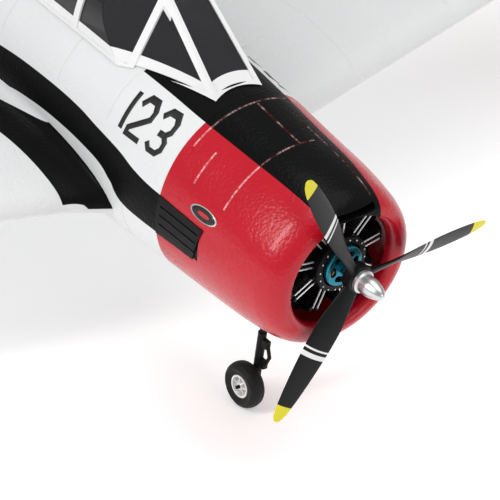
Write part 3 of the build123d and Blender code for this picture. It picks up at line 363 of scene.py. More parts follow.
class Shader:
    """A material whose nodes are built from short expressions; lengths are in mm."""

    def __init__(self, name, **sockets):
        self.material = bpy.data.materials.new(name)
        self.material.use_nodes = True
        self.tree = self.material.node_tree
        self.surface = self.tree.nodes["Principled BSDF"]
        for socket, value in sockets.items():
            self.surface.inputs[socket.replace("_", " ")].default_value = value
        coordinates = self.node("ShaderNodeTexCoord").outputs["Object"]
        split = self.node("ShaderNodeSeparateXYZ")
        self.feed(split.inputs[0], coordinates)
        self.coordinates = coordinates
        self.station = self.math("MULTIPLY", self.math("SUBTRACT", HUB.x, split.outputs[0]), 1 / MM)
        self.side = self.math("MULTIPLY", split.outputs[1], 1 / MM)
        self.height = self.math("MULTIPLY", self.math("SUBTRACT", split.outputs[2], HUB.z), 1 / MM)

    def node(self, kind, **settings):
        made = self.tree.nodes.new(kind)
        for key, value in settings.items():
            setattr(made, key, value)
        return made

    def feed(self, target, value):
        if isinstance(value, bpy.types.NodeSocket):
            self.tree.links.new(value, target)
        else:
            target.default_value = value

    def math(self, operation, *values):
        made = self.node("ShaderNodeMath", operation=operation)
        for socket, value in zip(made.inputs, values):
            self.feed(socket, value)
        return made.outputs[0]

    def below(self, value, limit):
        """1 where value is under limit, with a soft edge."""
        gap = self.math("DIVIDE", self.math("SUBTRACT", limit, value), EDGE_SOFTNESS)
        mask = self.math("ADD", gap, 0.5)
        mask.node.use_clamp = True
        return mask

    def between(self, value, low, high):
        return self.math("MULTIPLY", self.below(value, high), self.below(low, value))

    def both(self, *masks):
        return reduce(lambda first, second: self.math("MULTIPLY", first, second), masks)

    def either(self, *masks):
        return reduce(lambda first, second: self.math("MAXIMUM", first, second), masks)

    def curve(self, value, points):
        """Smooth function of value through points."""
        start, end = points[0][0], points[-1][0]
        low = min(point[1] for point in points) - 1
        high = max(point[1] for point in points) + 1
        made = self.node("ShaderNodeFloatCurve")
        share = self.math("DIVIDE", self.math("SUBTRACT", value, start), end - start)
        self.feed(made.inputs["Value"], share)
        knots = made.mapping.curves[0].points
        while len(knots) < len(points):
            knots.new(0.5, 0.5)
        for knot, (where, level) in zip(knots, points):
            knot.location = ((where - start) / (end - start), (level - low) / (high - low))
        made.mapping.update()
        return self.math("ADD", self.math("MULTIPLY", made.outputs[0], high - low), low)

    def texture(self, kind, output, size, values, **settings):
        """Texture on the object's own coordinates; its features are about size mm across."""
        made = self.node(kind, **settings)
        self.feed(made.inputs["Vector"], self.coordinates)
        for socket, value in {"Scale": 1 / (size * MM), **values}.items():
            made.inputs[socket].default_value = value
        return made.outputs[output]

    def noise(self, size, detail=3.0, roughness=0.5):
        """Cloudy value from 0 to 1."""
        values = {"Detail": detail, "Roughness": roughness}
        return self.texture("ShaderNodeTexNoise", "Fac", size, values)

    def cells(self, size):
        """Distance to the middle of the nearest bead."""
        values = {"Smoothness": BEAD_SMOOTHNESS}
        return self.texture("ShaderNodeTexVoronoi", "Distance", size, values, feature="SMOOTH_F1")

    def wave(self, size, distortion=0.0, bands="X", detail_scale=1.0):
        """Bands that repeat about every size mm."""
        values = {"Distortion": distortion, "Detail": 3.0, "Detail Scale": detail_scale}
        return self.texture("ShaderNodeTexWave", "Fac", size / WAVE_PERIOD, values, bands_direction=bands)

    def remap(self, value, ends, low, high):
        made = self.node("ShaderNodeMapRange")
        self.feed(made.inputs["Value"], value)
        made.inputs[f"{ends} Min"].default_value = low
        made.inputs[f"{ends} Max"].default_value = high
        return made.outputs["Result"]

    def scale(self, value, low, high):
        """Value from 0 to 1 spread over low to high."""
        return self.remap(value, "To", low, high)

    def ramp(self, value, low, high):
        """0 under low and 1 over high."""
        return self.remap(value, "From", low, high)

    def mix(self, share, first, second):
        """Colour between two colours."""
        made = self.node("ShaderNodeMix", data_type="RGBA")
        self.feed(made.inputs[0], share)
        self.feed(made.inputs[6], first)
        self.feed(made.inputs[7], second)
        return made.outputs[2]

    def tint(self, colour, variation, amount):
        """Colour with its brightness varied by a value from 0 to 1."""
        darker = tuple(channel * (1 - amount) for channel in colour[:3]) + (1.0,)
        lighter = tuple(min(channel * (1 + amount), 1.0) for channel in colour[:3]) + (1.0,)
        return self.mix(variation, darker, lighter)

    def bump(self, height, depth, strength=1.0, under=None):
        made = self.node("ShaderNodeBump")
        self.feed(made.inputs["Height"], height)
        made.inputs["Distance"].default_value = depth * MM
        made.inputs["Strength"].default_value = strength
        if under is not None:
            self.feed(made.inputs["Normal"], under)
        return made.outputs["Normal"]

    def finish(self, colour, roughness, normal):
        for socket, value in (("Base Color", colour), ("Roughness", roughness), ("Normal", normal)):
            self.feed(self.surface.inputs[socket], value)
        return self.material


def grey(level):
    return (level, level, level, 1)


WHITE = (0.76, 0.77, 0.775, 1)
RED = (0.51, 0.006, 0.019, 1)
BLACK = (0.0045, 0.0050, 0.0047, 1)
BEAD = 2.7
PANEL_LOWEST = 20.0
STREAK_INNERMOST = 30.0

# Half width of the black anti-glare panel along the top: station, side
PANEL_EDGE = [(10, 28), (38, 31), (63, 33.8), (110, 37.1), (153, 40.1), (188, 41.5), (224, 42.6)]
PANEL_END = 226.0
# Black exhaust streak on the fuselage side: station, height
STREAK_TOP = [(146, 12), (162, 12.5), (181, 15), (205, 21), (237, 25.5), (265, 29), (308, 29.5), (360, 26),
              (410, 16), (450, 2), (478, -12)]
STREAK_BOTTOM = [(146, -24), (184, -24), (209, -10), (238, 1), (285, 4), (327, 1), (362, -6), (410, -13),
                 (478, -16)]
# Black walkway on the wing's upper skin: station, side
WALK_INNER = [(205, 71.5), (229, 74), (256, 76), (300, 80), (348, 88), (400, 100), (450, 112), (505, 122)]
WALK_OUTER = [(205, 116), (226, 115.5), (244, 116.5), (286, 118.5), (304, 120), (348, 126),
              (400, 134), (450, 141), (505, 146)]
# Leading edge of the wing's upper skin: side, station
WING_EDGE = [(60, 197), (80, 204.5), (114, 219.9), (200, 229)]
WALK_FRONT = 1.0
RED_TIP_Y = 545.0
RED_TAIL_HEIGHT = 150.0
TAIL_START = 780.0


def foam_finish(shader, colour, gloss, dark, coat):
    """Painted bead foam: pebbled skin, cloudy gloss, duller where the paint is black."""
    beads = shader.cells(BEAD)
    pebble = shader.math("MULTIPLY", beads, beads)
    fine = shader.noise(0.9, detail=2.0)
    lumps = shader.bump(shader.noise(26.0), 0.5, 0.5)
    grain = shader.bump(fine, 0.05, 0.35, under=lumps)
    normal = shader.bump(shader.math("SUBTRACT", 1.0, pebble), 0.3, 0.8, under=grain)
    rough = shader.scale(shader.noise(14.0), gloss - 0.05, gloss + 0.07)
    shader.feed(shader.surface.inputs["Specular IOR Level"], shader.scale(dark, 0.26, 0.06))
    shader.feed(shader.surface.inputs["Coat Weight"], shader.scale(dark, coat, 0.02))
    return shader.finish(colour, rough, normal)


def paint_masks(shader):
    """Masks of the black panel and the exhaust streak on the fuselage."""
    level = shader.math("ABSOLUTE", shader.side)
    panel = shader.both(
        shader.below(level, shader.curve(shader.station, PANEL_EDGE)),
        shader.below(PANEL_LOWEST, shader.height),
        shader.below(shader.station, PANEL_END),
    )
    streak = shader.both(
        shader.below(shader.height, shader.curve(shader.station, STREAK_TOP)),
        shader.below(shader.curve(shader.station, STREAK_BOTTOM), shader.height),
        shader.below(shader.station, STREAK_TOP[-1][0]),
        shader.below(STREAK_INNERMOST, level),
    )
    return panel, streak


def cowl_paint(name, worn=False):
    shader = Shader(name, Coat_Roughness=0.1)
    level = shader.math("ABSOLUTE", shader.side)
    # Painted shade: the cowl is painted black under the exhaust panel so that the panel's slits read dark.
    exhaust_slit_shade = shader.both(
        shader.between(shader.station, 99.0, 160.0),
        shader.between(shader.height, -20.5, 9.5),
        shader.below(60.0, level),
    )
    panel, _ = paint_masks(shader)
    # The black panel mask below also carries that painted shade under the exhaust slits.
    panel = shader.either(panel, exhaust_slit_shade)
    cloud = shader.noise(30.0)
    red = shader.tint(RED, cloud, 0.06)
    black = shader.tint(BLACK, cloud, 0.2)
    colour = shader.mix(panel, red, black)
    if worn:
        chips = shader.ramp(shader.noise(2.6, detail=4.0, roughness=0.7), 0.42, 0.62)
        rubbed = shader.ramp(shader.noise(9.0, detail=4.0), 0.45, 0.6)
        dark_line = shader.mix(rubbed, (0.10, 0.012, 0.015, 1), (0.45, 0.30, 0.30, 1))
        pale = shader.mix(panel, (0.86, 0.46, 0.46, 1), dark_line)
        colour = shader.mix(shader.math("ADD", 0.25, chips), colour, pale)
    return foam_finish(shader, colour, 0.25, panel, 0.2)


def hull_paint(name, shade=1.0):
    shader = Shader(name, Coat_Roughness=0.2)
    panel, streak = paint_masks(shader)
    dark = shader.either(panel, streak)
    tip = shader.both(shader.below(RED_TAIL_HEIGHT, shader.height), shader.below(TAIL_START, shader.station))
    # shade under 1 darkens the white as painted shade; the groove faces get this for their recesses
    base = tuple(channel * shade for channel in WHITE[:3]) + (1,)
    white = shader.tint(base, shader.noise(40.0), 0.03)
    dirt = shader.ramp(shader.noise(9.0, detail=5.0), 0.62, 0.8)
    white = shader.mix(shader.math("MULTIPLY", dirt, 0.12), white, (0.62, 0.61, 0.58, 1))
    colour = shader.mix(tip, white, RED)
    colour = shader.mix(dark, colour, shader.tint(BLACK, shader.noise(30.0), 0.25))
    return foam_finish(shader, colour, 0.36, dark, 0.15)


def wing_paint(name, top):
    shader = Shader(name, Coat_Roughness=0.2)
    level = shader.math("ABSOLUTE", shader.side)
    dark = 0.0
    white = shader.tint(WHITE, shader.noise(40.0), 0.03)
    colour = shader.mix(shader.below(RED_TIP_Y, level), white, RED)
    if top:
        behind = shader.math("SUBTRACT", shader.station, shader.curve(level, WING_EDGE))
        dark = shader.both(
            shader.below(shader.curve(shader.station, WALK_INNER), level),
            shader.below(level, shader.curve(shader.station, WALK_OUTER)),
            shader.below(WALK_FRONT, behind),
        )
        colour = shader.mix(dark, colour, BLACK)
    return foam_finish(shader, colour, 0.38, dark, 0.12)


def plain(name, colour, roughness, metal=0.0, size=6.0, amount=0.12, grain=0.35, depth=0.04, **sockets):
    """Moulded or machined surface: cloudy tone, fine grain and uneven gloss."""
    shader = Shader(name, Metallic=metal, **sockets)
    cloud = shader.noise(size)
    tone = shader.tint(colour, cloud, amount)
    rough = shader.scale(shader.noise(size * 0.6, detail=5.0), roughness * 0.8, min(roughness * 1.25, 1.0))
    normal = shader.bump(shader.noise(0.35, detail=4.0), depth, grain)
    return shader.finish(tone, rough, normal)


def blade_paint():
    """Satin black blade with a yellow tip and two plain white bars."""
    shader = Shader("blade_paint", Specular_IOR_Level=0.22)
    squares = [shader.math("MULTIPLY", value, value) for value in (shader.side, shader.height)]
    radius = shader.math("SQRT", shader.math("ADD", *squares))
    tip = shader.below(119.0, radius)
    bars = shader.either(shader.between(radius, 66.0, 67.6), shader.between(radius, 70.4, 74.4))
    black = shader.tint((0.004, 0.0045, 0.005, 1), shader.noise(18.0), 0.3)
    colour = shader.mix(bars, black, grey(0.82))
    colour = shader.mix(tip, colour, (0.78, 0.70, 0.03, 1))
    rough = shader.scale(shader.noise(10.0), 0.3, 0.42)
    return shader.finish(colour, rough, shader.bump(shader.noise(1.2), 0.03, 0.25))


def wood_sheet():
    shader = Shader("plywood")
    grain = shader.wave(3.0, distortion=5.0, bands="Y", detail_scale=0.6)
    tone = shader.mix(grain, (0.55, 0.36, 0.18, 1), (0.74, 0.56, 0.34, 1))
    rough = shader.scale(grain, 0.55, 0.7)
    return shader.finish(tone, rough, shader.bump(grain, 0.08, 0.5))


def carbon_tube():
    shader = Shader("carbon_weave", Coat_Weight=0.5, Coat_Roughness=0.1)
    weave = shader.math("MULTIPLY", shader.wave(1.6, bands="X"), shader.wave(1.6, bands="Z"))
    tone = shader.mix(weave, (0.006, 0.006, 0.007, 1), (0.05, 0.05, 0.055, 1))
    return shader.finish(tone, shader.scale(weave, 0.25, 0.45), shader.bump(weave, 0.05, 0.5))


def woven_strap():
    shader = Shader("woven_strap", Sheen_Weight=0.4)
    weave = shader.math("MULTIPLY", shader.wave(0.9, bands="X"), shader.wave(0.9, bands="Y"))
    tone = shader.mix(weave, (0.008, 0.008, 0.01, 1), (0.035, 0.035, 0.04, 1))
    return shader.finish(tone, 0.85, shader.bump(weave, 0.15, 0.8))


def battery_wrap():
    shader = Shader("battery_wrap", Coat_Weight=0.6, Coat_Roughness=0.1)
    stripes = [shader.between(shader.station, low, high) for low, high in ((176.0, 180.0), (256.0, 268.0))]
    blue = shader.tint((0.02, 0.09, 0.34, 1), shader.noise(12.0), 0.15)
    tone = shader.mix(shader.either(*stripes), blue, grey(0.7))
    wrinkles = shader.bump(shader.noise(5.0, detail=4.0), 0.25, 0.5)
    return shader.finish(tone, shader.scale(shader.noise(7.0), 0.22, 0.38), wrinkles)


def tyre_rubber():
    shader = Shader("tyre_rubber", Specular_IOR_Level=0.25)
    dust = shader.ramp(shader.noise(4.0, detail=5.0), 0.45, 0.75)
    tone = shader.mix(dust, grey(0.006), (0.014, 0.014, 0.013, 1))
    rough = shader.scale(dust, 0.55, 0.75)
    return shader.finish(tone, rough, shader.bump(shader.noise(0.7, detail=4.0), 0.08, 0.5))


def smoked_pane():
    shader = Shader("smoked_pane", Alpha=0.72, Coat_Weight=0.3, Coat_Roughness=0.04, IOR=1.49)
    haze = shader.noise(22.0)
    tone = shader.tint((0.016, 0.016, 0.019, 1), haze, 0.35)
    return shader.finish(tone, shader.scale(haze, 0.06, 0.13), shader.bump(shader.noise(60.0), 0.4, 0.15))


def speckled_foam():
    shader = Shader("speckled_foam")
    fleck = shader.ramp(shader.noise(0.8, detail=5.0, roughness=0.8), 0.38, 0.62)
    tone = shader.mix(fleck, grey(0.10), (0.42, 0.42, 0.41, 1))
    return shader.finish(tone, 0.8, shader.bump(fleck, 0.2, 0.6))


DULL = {"Specular_IOR_Level": 0.12}
COWL_PAINT = cowl_paint("cowl_paint")
COWL_WORN = cowl_paint("cowl_paint_worn", worn=True)
HULL_PAINT = hull_paint("hull_paint")
# Painted shade: the groove faces' white is 3% darker, standing in for shade in the recessed panel lines.
HULL_GROOVE_SHADED = hull_paint("hull_groove_painted_shade", shade=0.97)
WING_TOP = wing_paint("wing_top_paint", True)
WING_UNDER = wing_paint("wing_under_paint", False)
BLACK_PLASTIC = plain("black_plastic", grey(0.008), 0.42, amount=0.3, size=9.0, **DULL)
ENGINE_PLASTIC = plain("engine_plastic", grey(0.006), 0.28, amount=0.4, size=4.0, depth=0.08,
                       **DULL)
CRANKCASE = plain("crankcase", grey(0.006), 0.36, amount=0.3, **DULL)
BLADE = blade_paint()
SILVER_TUBE = plain("silver_tube", grey(0.86), 0.22, metal=0.6, size=3.0, amount=0.05)
POLISHED = plain("polished_metal", (0.66, 0.67, 0.67, 1), 0.33, metal=1.0, size=14.0, amount=0.08,
                 depth=0.0)
STEEL = plain("steel", (0.55, 0.55, 0.56, 1), 0.32, metal=1.0, size=4.0)
TEAL = plain("teal_anodised", (0.02, 0.22, 0.30, 1), 0.25, metal=0.85, size=5.0, amount=0.25)
LAMINATION = plain("lamination", (0.16, 0.16, 0.17, 1), 0.45, metal=0.9, size=2.0, amount=0.3)
COPPER = plain("copper_enamel", (0.70, 0.24, 0.09, 1), 0.28, metal=0.9, size=1.5, amount=0.2)
PLYWOOD = wood_sheet()
WRAP = battery_wrap()
STRAP = woven_strap()
CARBON = carbon_tube()
NYLON = plain("white_nylon", (0.72, 0.72, 0.70, 1), 0.45, size=8.0, amount=0.05)
GREY_CASE = plain("electronics_case", (0.045, 0.05, 0.06, 1), 0.4, size=6.0, amount=0.2)
FRAME_WHITE = plain("canopy_white", grey(0.84), 0.3, size=30.0, amount=0.03, Coat_Weight=0.3)
PANE = smoked_pane()
COCKPIT = plain("cockpit_grey", grey(0.10), 0.75, size=3.0, amount=0.35, depth=0.2)
COAMING = speckled_foam()
HUB_SILVER = plain("hub_silver", grey(0.80), 0.3, metal=0.35, size=1.5, amount=0.15)
RUBBER = tyre_rubber()
DECAL_BLACK = plain("decal_black", grey(0.006), 0.4, size=20.0, amount=0.2)
DECAL_RED = plain("decal_red", (0.50, 0.02, 0.03, 1), 0.35, size=6.0)
DECAL_SILVER = plain("decal_silver", (0.65, 0.67, 0.62, 1), 0.3, metal=0.5, size=4.0)

NODE_LOOKS = {
    "exhaust_panels": BLACK_PLASTIC, "dummy_engine": ENGINE_PLASTIC, "crankcase_ring": CRANKCASE,
    "pushrod_tubes": SILVER_TUBE, "motor_mount": PLYWOOD, "motor_stator": LAMINATION,
    "motor_windings": COPPER, "motor_bell": TEAL, "prop_shaft": STEEL, "spinner_nut": POLISHED,
    "propeller": BLADE, "speed_controller": WRAP, "receiver": GREY_CASE, "battery": WRAP,
    "battery_tray": PLYWOOD, "battery_strap": STRAP, "wing_spars": CARBON, "spar_joiner": NYLON,
    "wing_screws": STEEL, "servos": GREY_CASE, "elevator_joiner": STEEL, "canopy_frame": FRAME_WHITE,
    "canopy_glass": PANE, "cockpit_tub": COCKPIT, "cowl": COWL_PAINT,
}
for node_name, node in NODES.items():
    look = NODE_LOOKS.get(node_name, HULL_PAINT)
    if "servo_arm" in node_name:
        look = NYLON
    elif "pushrod" in node_name and node_name != "pushrod_tubes":
        look = STEEL
    elif "tyre" in node_name:
        look = RUBBER
    elif "hub" in node_name:
        look = HUB_SILVER
    elif "leg" in node_name or "retract" in node_name or "trunnion" in node_name:
        look = BLACK_PLASTIC
    node.data.materials.clear()
    node.data.materials.append(look)

# ---------------------------------------------------------------- cowl and fuselage shells

GROOVE_HALF = 0.8
GROOVE_FLOOR = 0.35
GROOVE_DEPTH = 0.55
RING_RADIUS = 76.0


def groove_share(distance):
    """1 on a groove's floor, 0 beside it."""
    return min(max((GROOVE_HALF - abs(distance)) / (GROOVE_HALF - GROOVE_FLOOR), 0.0), 1.0)


def with_groove_lines(values, centres, half, floor):
    """Sorted grid values with extra lines at each groove's sides and floor."""
    extra = [centre + offset for centre in centres for offset in (-half, -floor, floor, half)]
    kept = [value for value in values if all(abs(value - centre) > half * 1.2 for centre in centres)]
    return sorted(kept + extra)


class Grooves:
    """Moulded panel lines: around at a station, or along at a section angle."""

    def __init__(self, around, along):
        self.around = around
        self.along = along

    def stations(self, values):
        return with_groove_lines(values, [line[0] for line in self.around], GROOVE_HALF, GROOVE_FLOOR)

    def angles(self, values):
        half = GROOVE_HALF / RING_RADIUS
        floor = GROOVE_FLOOR / RING_RADIUS
        return with_groove_lines(values, [radians(line[0]) for line in self.along], half, floor)

    def share(self, station, angle):
        best = 0.0
        for centre, low, high in self.around:
            if radians(low) <= angle <= radians(high):
                best = max(best, groove_share(station - centre))
        for centre, low, high in self.along:
            if low <= station <= high:
                best = max(best, groove_share((angle - radians(centre)) * RING_RADIUS))
        return best


def even(start, end, count):
    return [start + (end - start) * index / (count - 1) for index in range(count)]


def shell_point(table, grooves, station, angle, inset=0.0):
    """Point of a shell's skin, sunk where a groove runs."""
    across, height = ring_point(table, station, angle, inset)
    middle = sum(smooth_row(table, station)[1:3]) / 2
    outward = Vector((across, height - middle))
    sink = GROOVE_DEPTH * grooves.share(station, angle) if inset == 0.0 else 0.0
    if outward.length > 1.0:
        outward *= 1 - sink / outward.length
    return place(station, outward.x, middle + outward.y)


COWL_REAR = 149.9
OPENING_RADIUS = 50.0
OPENING_HEIGHT = -5.7
LIP_ROUND = 6.5
COWL_WALL = 4.5
LIP_STATIONS = [26.0, 23.0, 20.5, 18.3, 16.5, 15.2, 14.3, 13.7, 13.5]
COWL_GROOVES = Grooves(
    around=[(87.0, 76.0, 149.0), (123.5, 129.0, 149.0), (143.0, 46.0, 134.0)],
    along=[(71.0, 23.0, 125.0), (87.5, 87.0, 143.0)],
)


def cowl_mesh():
    """Cowl: skin, rolled lip into the round opening, and the inside wall."""
    grooves = COWL_GROOVES
    angles = grooves.angles([radians(-90 + 2 * step) for step in range(180)])
    outer = grooves.stations(even(COWL_REAR, 30.0, 62) + LIP_STATIONS)
    outer.reverse()
    lip_turns = [radians(12.86 * step) for step in range(1, 8)]
    inner = [26.0, 30.0, 38.0, 60.0, 100.0, COWL_REAR]
    rows = []
    for angle in angles:
        row = [shell_point(COWL_TABLE, grooves, station, angle) for station in outer]
        front = Vector(ring_point(COWL_TABLE, outer[-1], angle))
        mouth = Vector((OPENING_RADIUS * cos(angle), OPENING_HEIGHT + OPENING_RADIUS * sin(angle)))
        for turn in lip_turns:
            spot = front.lerp(mouth, sin(turn))
            row.append(place(outer[-1] + LIP_ROUND * (1 - cos(turn)), spot.x, spot.y))
        row.append(place(24.0, mouth.x, mouth.y))
        for station in inner:
            across, height = ring_point(COWL_TABLE, station, angle, COWL_WALL)
            row.append(place(station, across, height))
        rows.append(row)
    rows.append(rows[0])
    width = len(rows[0])

    def slot_of(row, column):
        if column >= len(outer) - 1:
            return 0
        angle = (angles[row] + angles[(row + 1) % len(angles)]) / 2
        station = (outer[column] + outer[column + 1]) / 2
        return 1 if grooves.share(station, angle) > 0.2 else 0

    mesh = quad_mesh("cowl_shell", rows, loop=True, slot_of=slot_of)
    tidy_normals(mesh, WELD)
    return mesh


INTAKE = box_mesh("intake_cut", (8, 44), (-23, 23), (46.5, 52.5), rounding=2.0)
COWL_WELL = box_mesh("cowl_well_cut", (84, 170), (-28, 28), (-110, -34))
cowl_shell = carve(cowl_mesh(), [INTAKE, COWL_WELL])
new_piece("cowl_shell", cowl_shell, [COWL_PAINT, COWL_WORN], "airframe", ["cowl"])

HULL_GROOVES = Grooves(
    around=[(193.0, -50.0, -12.0), (228.0, 24.0, 56.0), (293.0, 22.0, 56.0), (372.0, 22.0, 56.0),
            (505.0, -80.0, 62.0), (612.0, -88.0, 88.0), (742.0, -88.0, 80.0), (862.0, -88.0, 70.0)],
    along=[(8.0, 505.0, 862.0), (-46.0, 228.0, 742.0)],
)
HULL_FRONT, HULL_REAR = 150.1, 949.0
SEAM_SINK = 0.35


def hull_half():
    """Port half of the fuselage: outer skin and the inside face, joined on the centre plane."""
    grooves = HULL_GROOVES
    stations = grooves.stations(even(HULL_FRONT, HULL_REAR, 118))
    angles = grooves.angles(even(radians(-89.4), radians(89.4), 74))
    angles = [radians(-90)] + angles + [radians(90)]
    rows = []
    for station in stations:
        row = []
        for angle in angles:
            point = shell_point(HULL_TABLE, grooves, station, angle)
            if abs(angle) > radians(89.9):
                point.z -= copysign(SEAM_SINK * MM, angle)
                point.y = 0.0
            row.append(point)
        for angle in even(radians(90), radians(-90), 30):
            across, height = ring_point(HULL_TABLE, station, angle, FOAM)
            row.append(place(station, abs(across) if abs(angle) < radians(89.9) else 0.0, height))
        rows.append(row)

    def slot_of(row, column):
        if row >= len(stations) - 1 or column >= len(angles) - 1:
            return 0
        angle = (angles[column] + angles[column + 1]) / 2
        station = (stations[row] + stations[row + 1]) / 2
        return 1 if grooves.share(station, angle) > 0.4 else 0

    return quad_mesh("hull_left", rows, loop=True, caps=True, slot_of=slot_of)


FIN_EDGE = [(742, 70), (800, 84), (848, 104), (878, 150), (898, 196), (914, 211), (935, 215.5)]
FIN_REAR = 948.5
FIN_HALF = 5.0
FIN_TOP = 215.5
FIN_CROWN = 203.0
FLARE_WIDTH, FLARE_START, FLARE_RISE = 5.0, 62.0, 16.0


def fin_lead(height):
    """Station of the fin's leading edge at a height, smooth through its outline."""
    table = [(level, station) for station, level in FIN_EDGE]
    return smooth_row(table, min(max(height, table[0][0]), table[-1][0]))[0]


def fin_mesh():
    """Fin with a round nose that flares softly into the fuselage spine."""
    heights = even(52.0, 200.0, 52) + even(FIN_CROWN, FIN_TOP, 9)
    rows = []
    for height in heights:
        lead = fin_lead(height)
        depth = FIN_REAR - lead
        flare = FLARE_WIDTH * max(0.0, 1 - (height - FLARE_START) / FLARE_RISE) ** 2
        rise = max(0.0, (height - FIN_CROWN) / (FIN_TOP - FIN_CROWN))
        crown = sqrt(max(0.0, 1 - rise**2))
        row = []
        for share in [0.5 * (1 - cos(pi * step / 17)) for step in range(18)]:
            thick = FIN_HALF * min(1.0, sqrt(share / 0.32)) if share < 0.32 else FIN_HALF
            spread = flare * min(1.0, share * 8, (1 - share) * 5)
            thick = thick * min(1.0, 0.25 + depth / 120.0) * max(crown, 0.03) + spread
            row.append((lead + depth * share, thick))
        port = [place(station, thick, height) for station, thick in row]
        starboard = [place(station, -thick, height) for station, thick in reversed(row[1:])]
        rows.append(port + starboard)
    return quad_mesh("fin_skin", rows, loop=True, caps=True)


CANOPY_CUT = box_mesh("canopy_cut", (196, 520), (-36, 36), (20, 120))
NOSE_CUT = box_mesh("nose_well_cut", (80, 227), (-28, 28), (-110, -34))
RUDDER_LINK_CUT = box_mesh("rudder_link_cut", (858, 888), (8, 50), (15.5, 21.5))
RUDDER_HORN_CUT = box_mesh("rudder_horn_cut", (943, 953), (5, 16), (17.3, 22.3))
ELEVATOR_LINK_CUT = box_mesh("elevator_link_cut", (858, 896), (-50, -23), (10, 26))
hull_shell = carve(hull_half(), [CANOPY_CUT, NOSE_CUT])
hull_right = carve(mirrored("hull_right", hull_shell), [ELEVATOR_LINK_CUT])
hull_left = carve(hull_shell, [RUDDER_LINK_CUT, RUDDER_HORN_CUT])
for side, shape in (("left", hull_left), ("right", hull_right)):
    # Slot 1, the groove faces, takes the white darkened as painted shade.
    looks = [HULL_PAINT, HULL_GROOVE_SHADED]
    new_piece(f"hull_{side}", shape, looks, "airframe", [f"fuselage_{side}"])
new_piece("fin_skin", fin_mesh(), [HULL_PAINT], "airframe")

# ---------------------------------------------------------------- wing

WING_START = 62.0
SPAN_LINES = [0.30, 0.52]
RIB_LINES = [(200.0, 0.02, 0.73), (319.5, 0.05, 0.73), (440.0, 0.05, 0.73), (560.0, 0.05, 0.98)]
WING_GROOVE = 0.4
TIP_TURNS = (12, 24, 36, 48, 58, 67, 75, 80, 84)
SHARES = 30


def wing_groove(y, share):
    """How deep into a panel line a wing point lies, from 0 to 1."""
    chord = wing_section(y)[1]
    best = 0.0
    for line in SPAN_LINES:
        if 132.0 < y < 560.0:
            best = max(best, groove_share((share - line) * chord))
    for line, low, high in RIB_LINES:
        if low <= share <= high:
            best = max(best, groove_share(y - line))
    return best


def wing_mesh():
    """Whole port wing panel before its control surfaces and wells are cut."""
    spans = even(WING_START, GLOVE_Y, 12)[:-1] + even(GLOVE_Y, TIP_Y, 78)
    spans = with_groove_lines(spans, [line[0] for line in RIB_LINES], GROOVE_HALF, GROOVE_FLOOR)
    spans += [TIP_Y + (HALF_SPAN - TIP_Y) * sin(radians(turn)) for turn in TIP_TURNS]
    count = SHARES + 2 * len(SPAN_LINES)
    rows = []
    for y in spans:
        lead, chord, height, thickness = wing_section(y)
        shares = [0.5 * (1 - cos(pi * step / (SHARES - 1))) for step in range(SHARES)]
        shares = with_groove_lines(shares, SPAN_LINES, GROOVE_HALF / chord, GROOVE_FLOOR / chord)[:count]
        shares += [1.0] * (count - len(shares))
        row = []
        for upper, line in ((True, list(reversed(shares))), (False, shares[1:])):
            for share in line:
                level = height + chord * skin(min(share, 1.0), thickness, WING_CAMBER, upper)
                level -= copysign(WING_GROOVE * wing_groove(y, share), 1 if upper else -1)
                row.append(place(lead + chord * min(share, 1.0), y, level))
        rows.append(row)

    def slot_of(row, column):
        return 0 if column < count - 1 else 1

    return quad_mesh("wing_left", rows, loop=True, caps=True, slot_of=slot_of)


def hinge_point(y, upper=True):
    lead, chord, height = chord_line(y)
    level = skin(HINGE_SHARE, WING_THICKNESS, WING_CAMBER, upper) * chord
    return place(lead + HINGE_SHARE * chord, y, height + level)


def hinge_axes(upper=True):
    """Directions aft, up and outboard of a hinge line."""
    outboard = (hinge_point(TIP_Y, upper) - hinge_point(ROOT_Y, upper)).normalized()
    aft = Vector((-1, 0, 0))
    aft = (aft - outboard * aft.dot(outboard)).normalized()
    return aft, outboard.cross(aft), outboard


def prism(name, origin, axes, outline, start, end):
    """Closed prism: outline of (aft, up) points in mm, from start to end outboard."""
    aft, lift, outboard = axes
    rows = []
    for distance in (start, end):
        rows.append([origin + aft * a * MM + lift * b * MM + outboard * distance * MM for a, b in outline])
    return quad_mesh(name, rows, loop=True, caps=True)


def trailing_prism(name, ends, gap, bevel):
    """Space behind the hinge line between two sides."""
    outline = [(gap, 30), (gap, 0), (gap + bevel, -30), (120, -30), (120, 30)]
    length = (hinge_point(ends[1]) - hinge_point(ends[0])).length / MM
    return prism(name, hinge_point(ends[0]), hinge_axes(), outline, gap, length - gap)


MAIN_PIVOT = Vector(JOINTS["main_gear_fold_left"]["pos_m"])
MAIN_WHEEL = Vector(JOINTS["main_wheel_spin_left"]["pos_m"])
MAIN_FOLD = radians(JOINTS["main_gear_fold_left"]["range_deg"][1])
arm = MAIN_WHEEL - MAIN_PIVOT
WELL = Vector((MAIN_PIVOT.x, MAIN_PIVOT.y + arm.y * cos(MAIN_FOLD) + arm.z * sin(MAIN_FOLD), 0.0))
WELL_STATION = (HUB.x - WELL.x) / MM
WELL_SIDE = WELL.y / MM


WELL_RADIUS, WELL_ROOF = 28.5, -16.0
SLOT_HALF, SLOT_OUTER, SLOT_ROOF = 8, 232, -15
BAY_HALF, BAY_SIDES, BAY_ROOF = 18, (228, 268), -9
BELOW_WING = -100
# Control linkages of the wing: surface, side, whether it lies on the upper skin,
# and the servo arm's pivot aft of and above the hinge line.
FLAP_LINK_Y, AILERON_LINK_Y = 290.0, 450.0
WING_LINKS = [("flap", FLAP_LINK_Y, False, (-44.0, 3.0)), ("aileron", AILERON_LINK_Y, True, (-40.0, -7.0))]


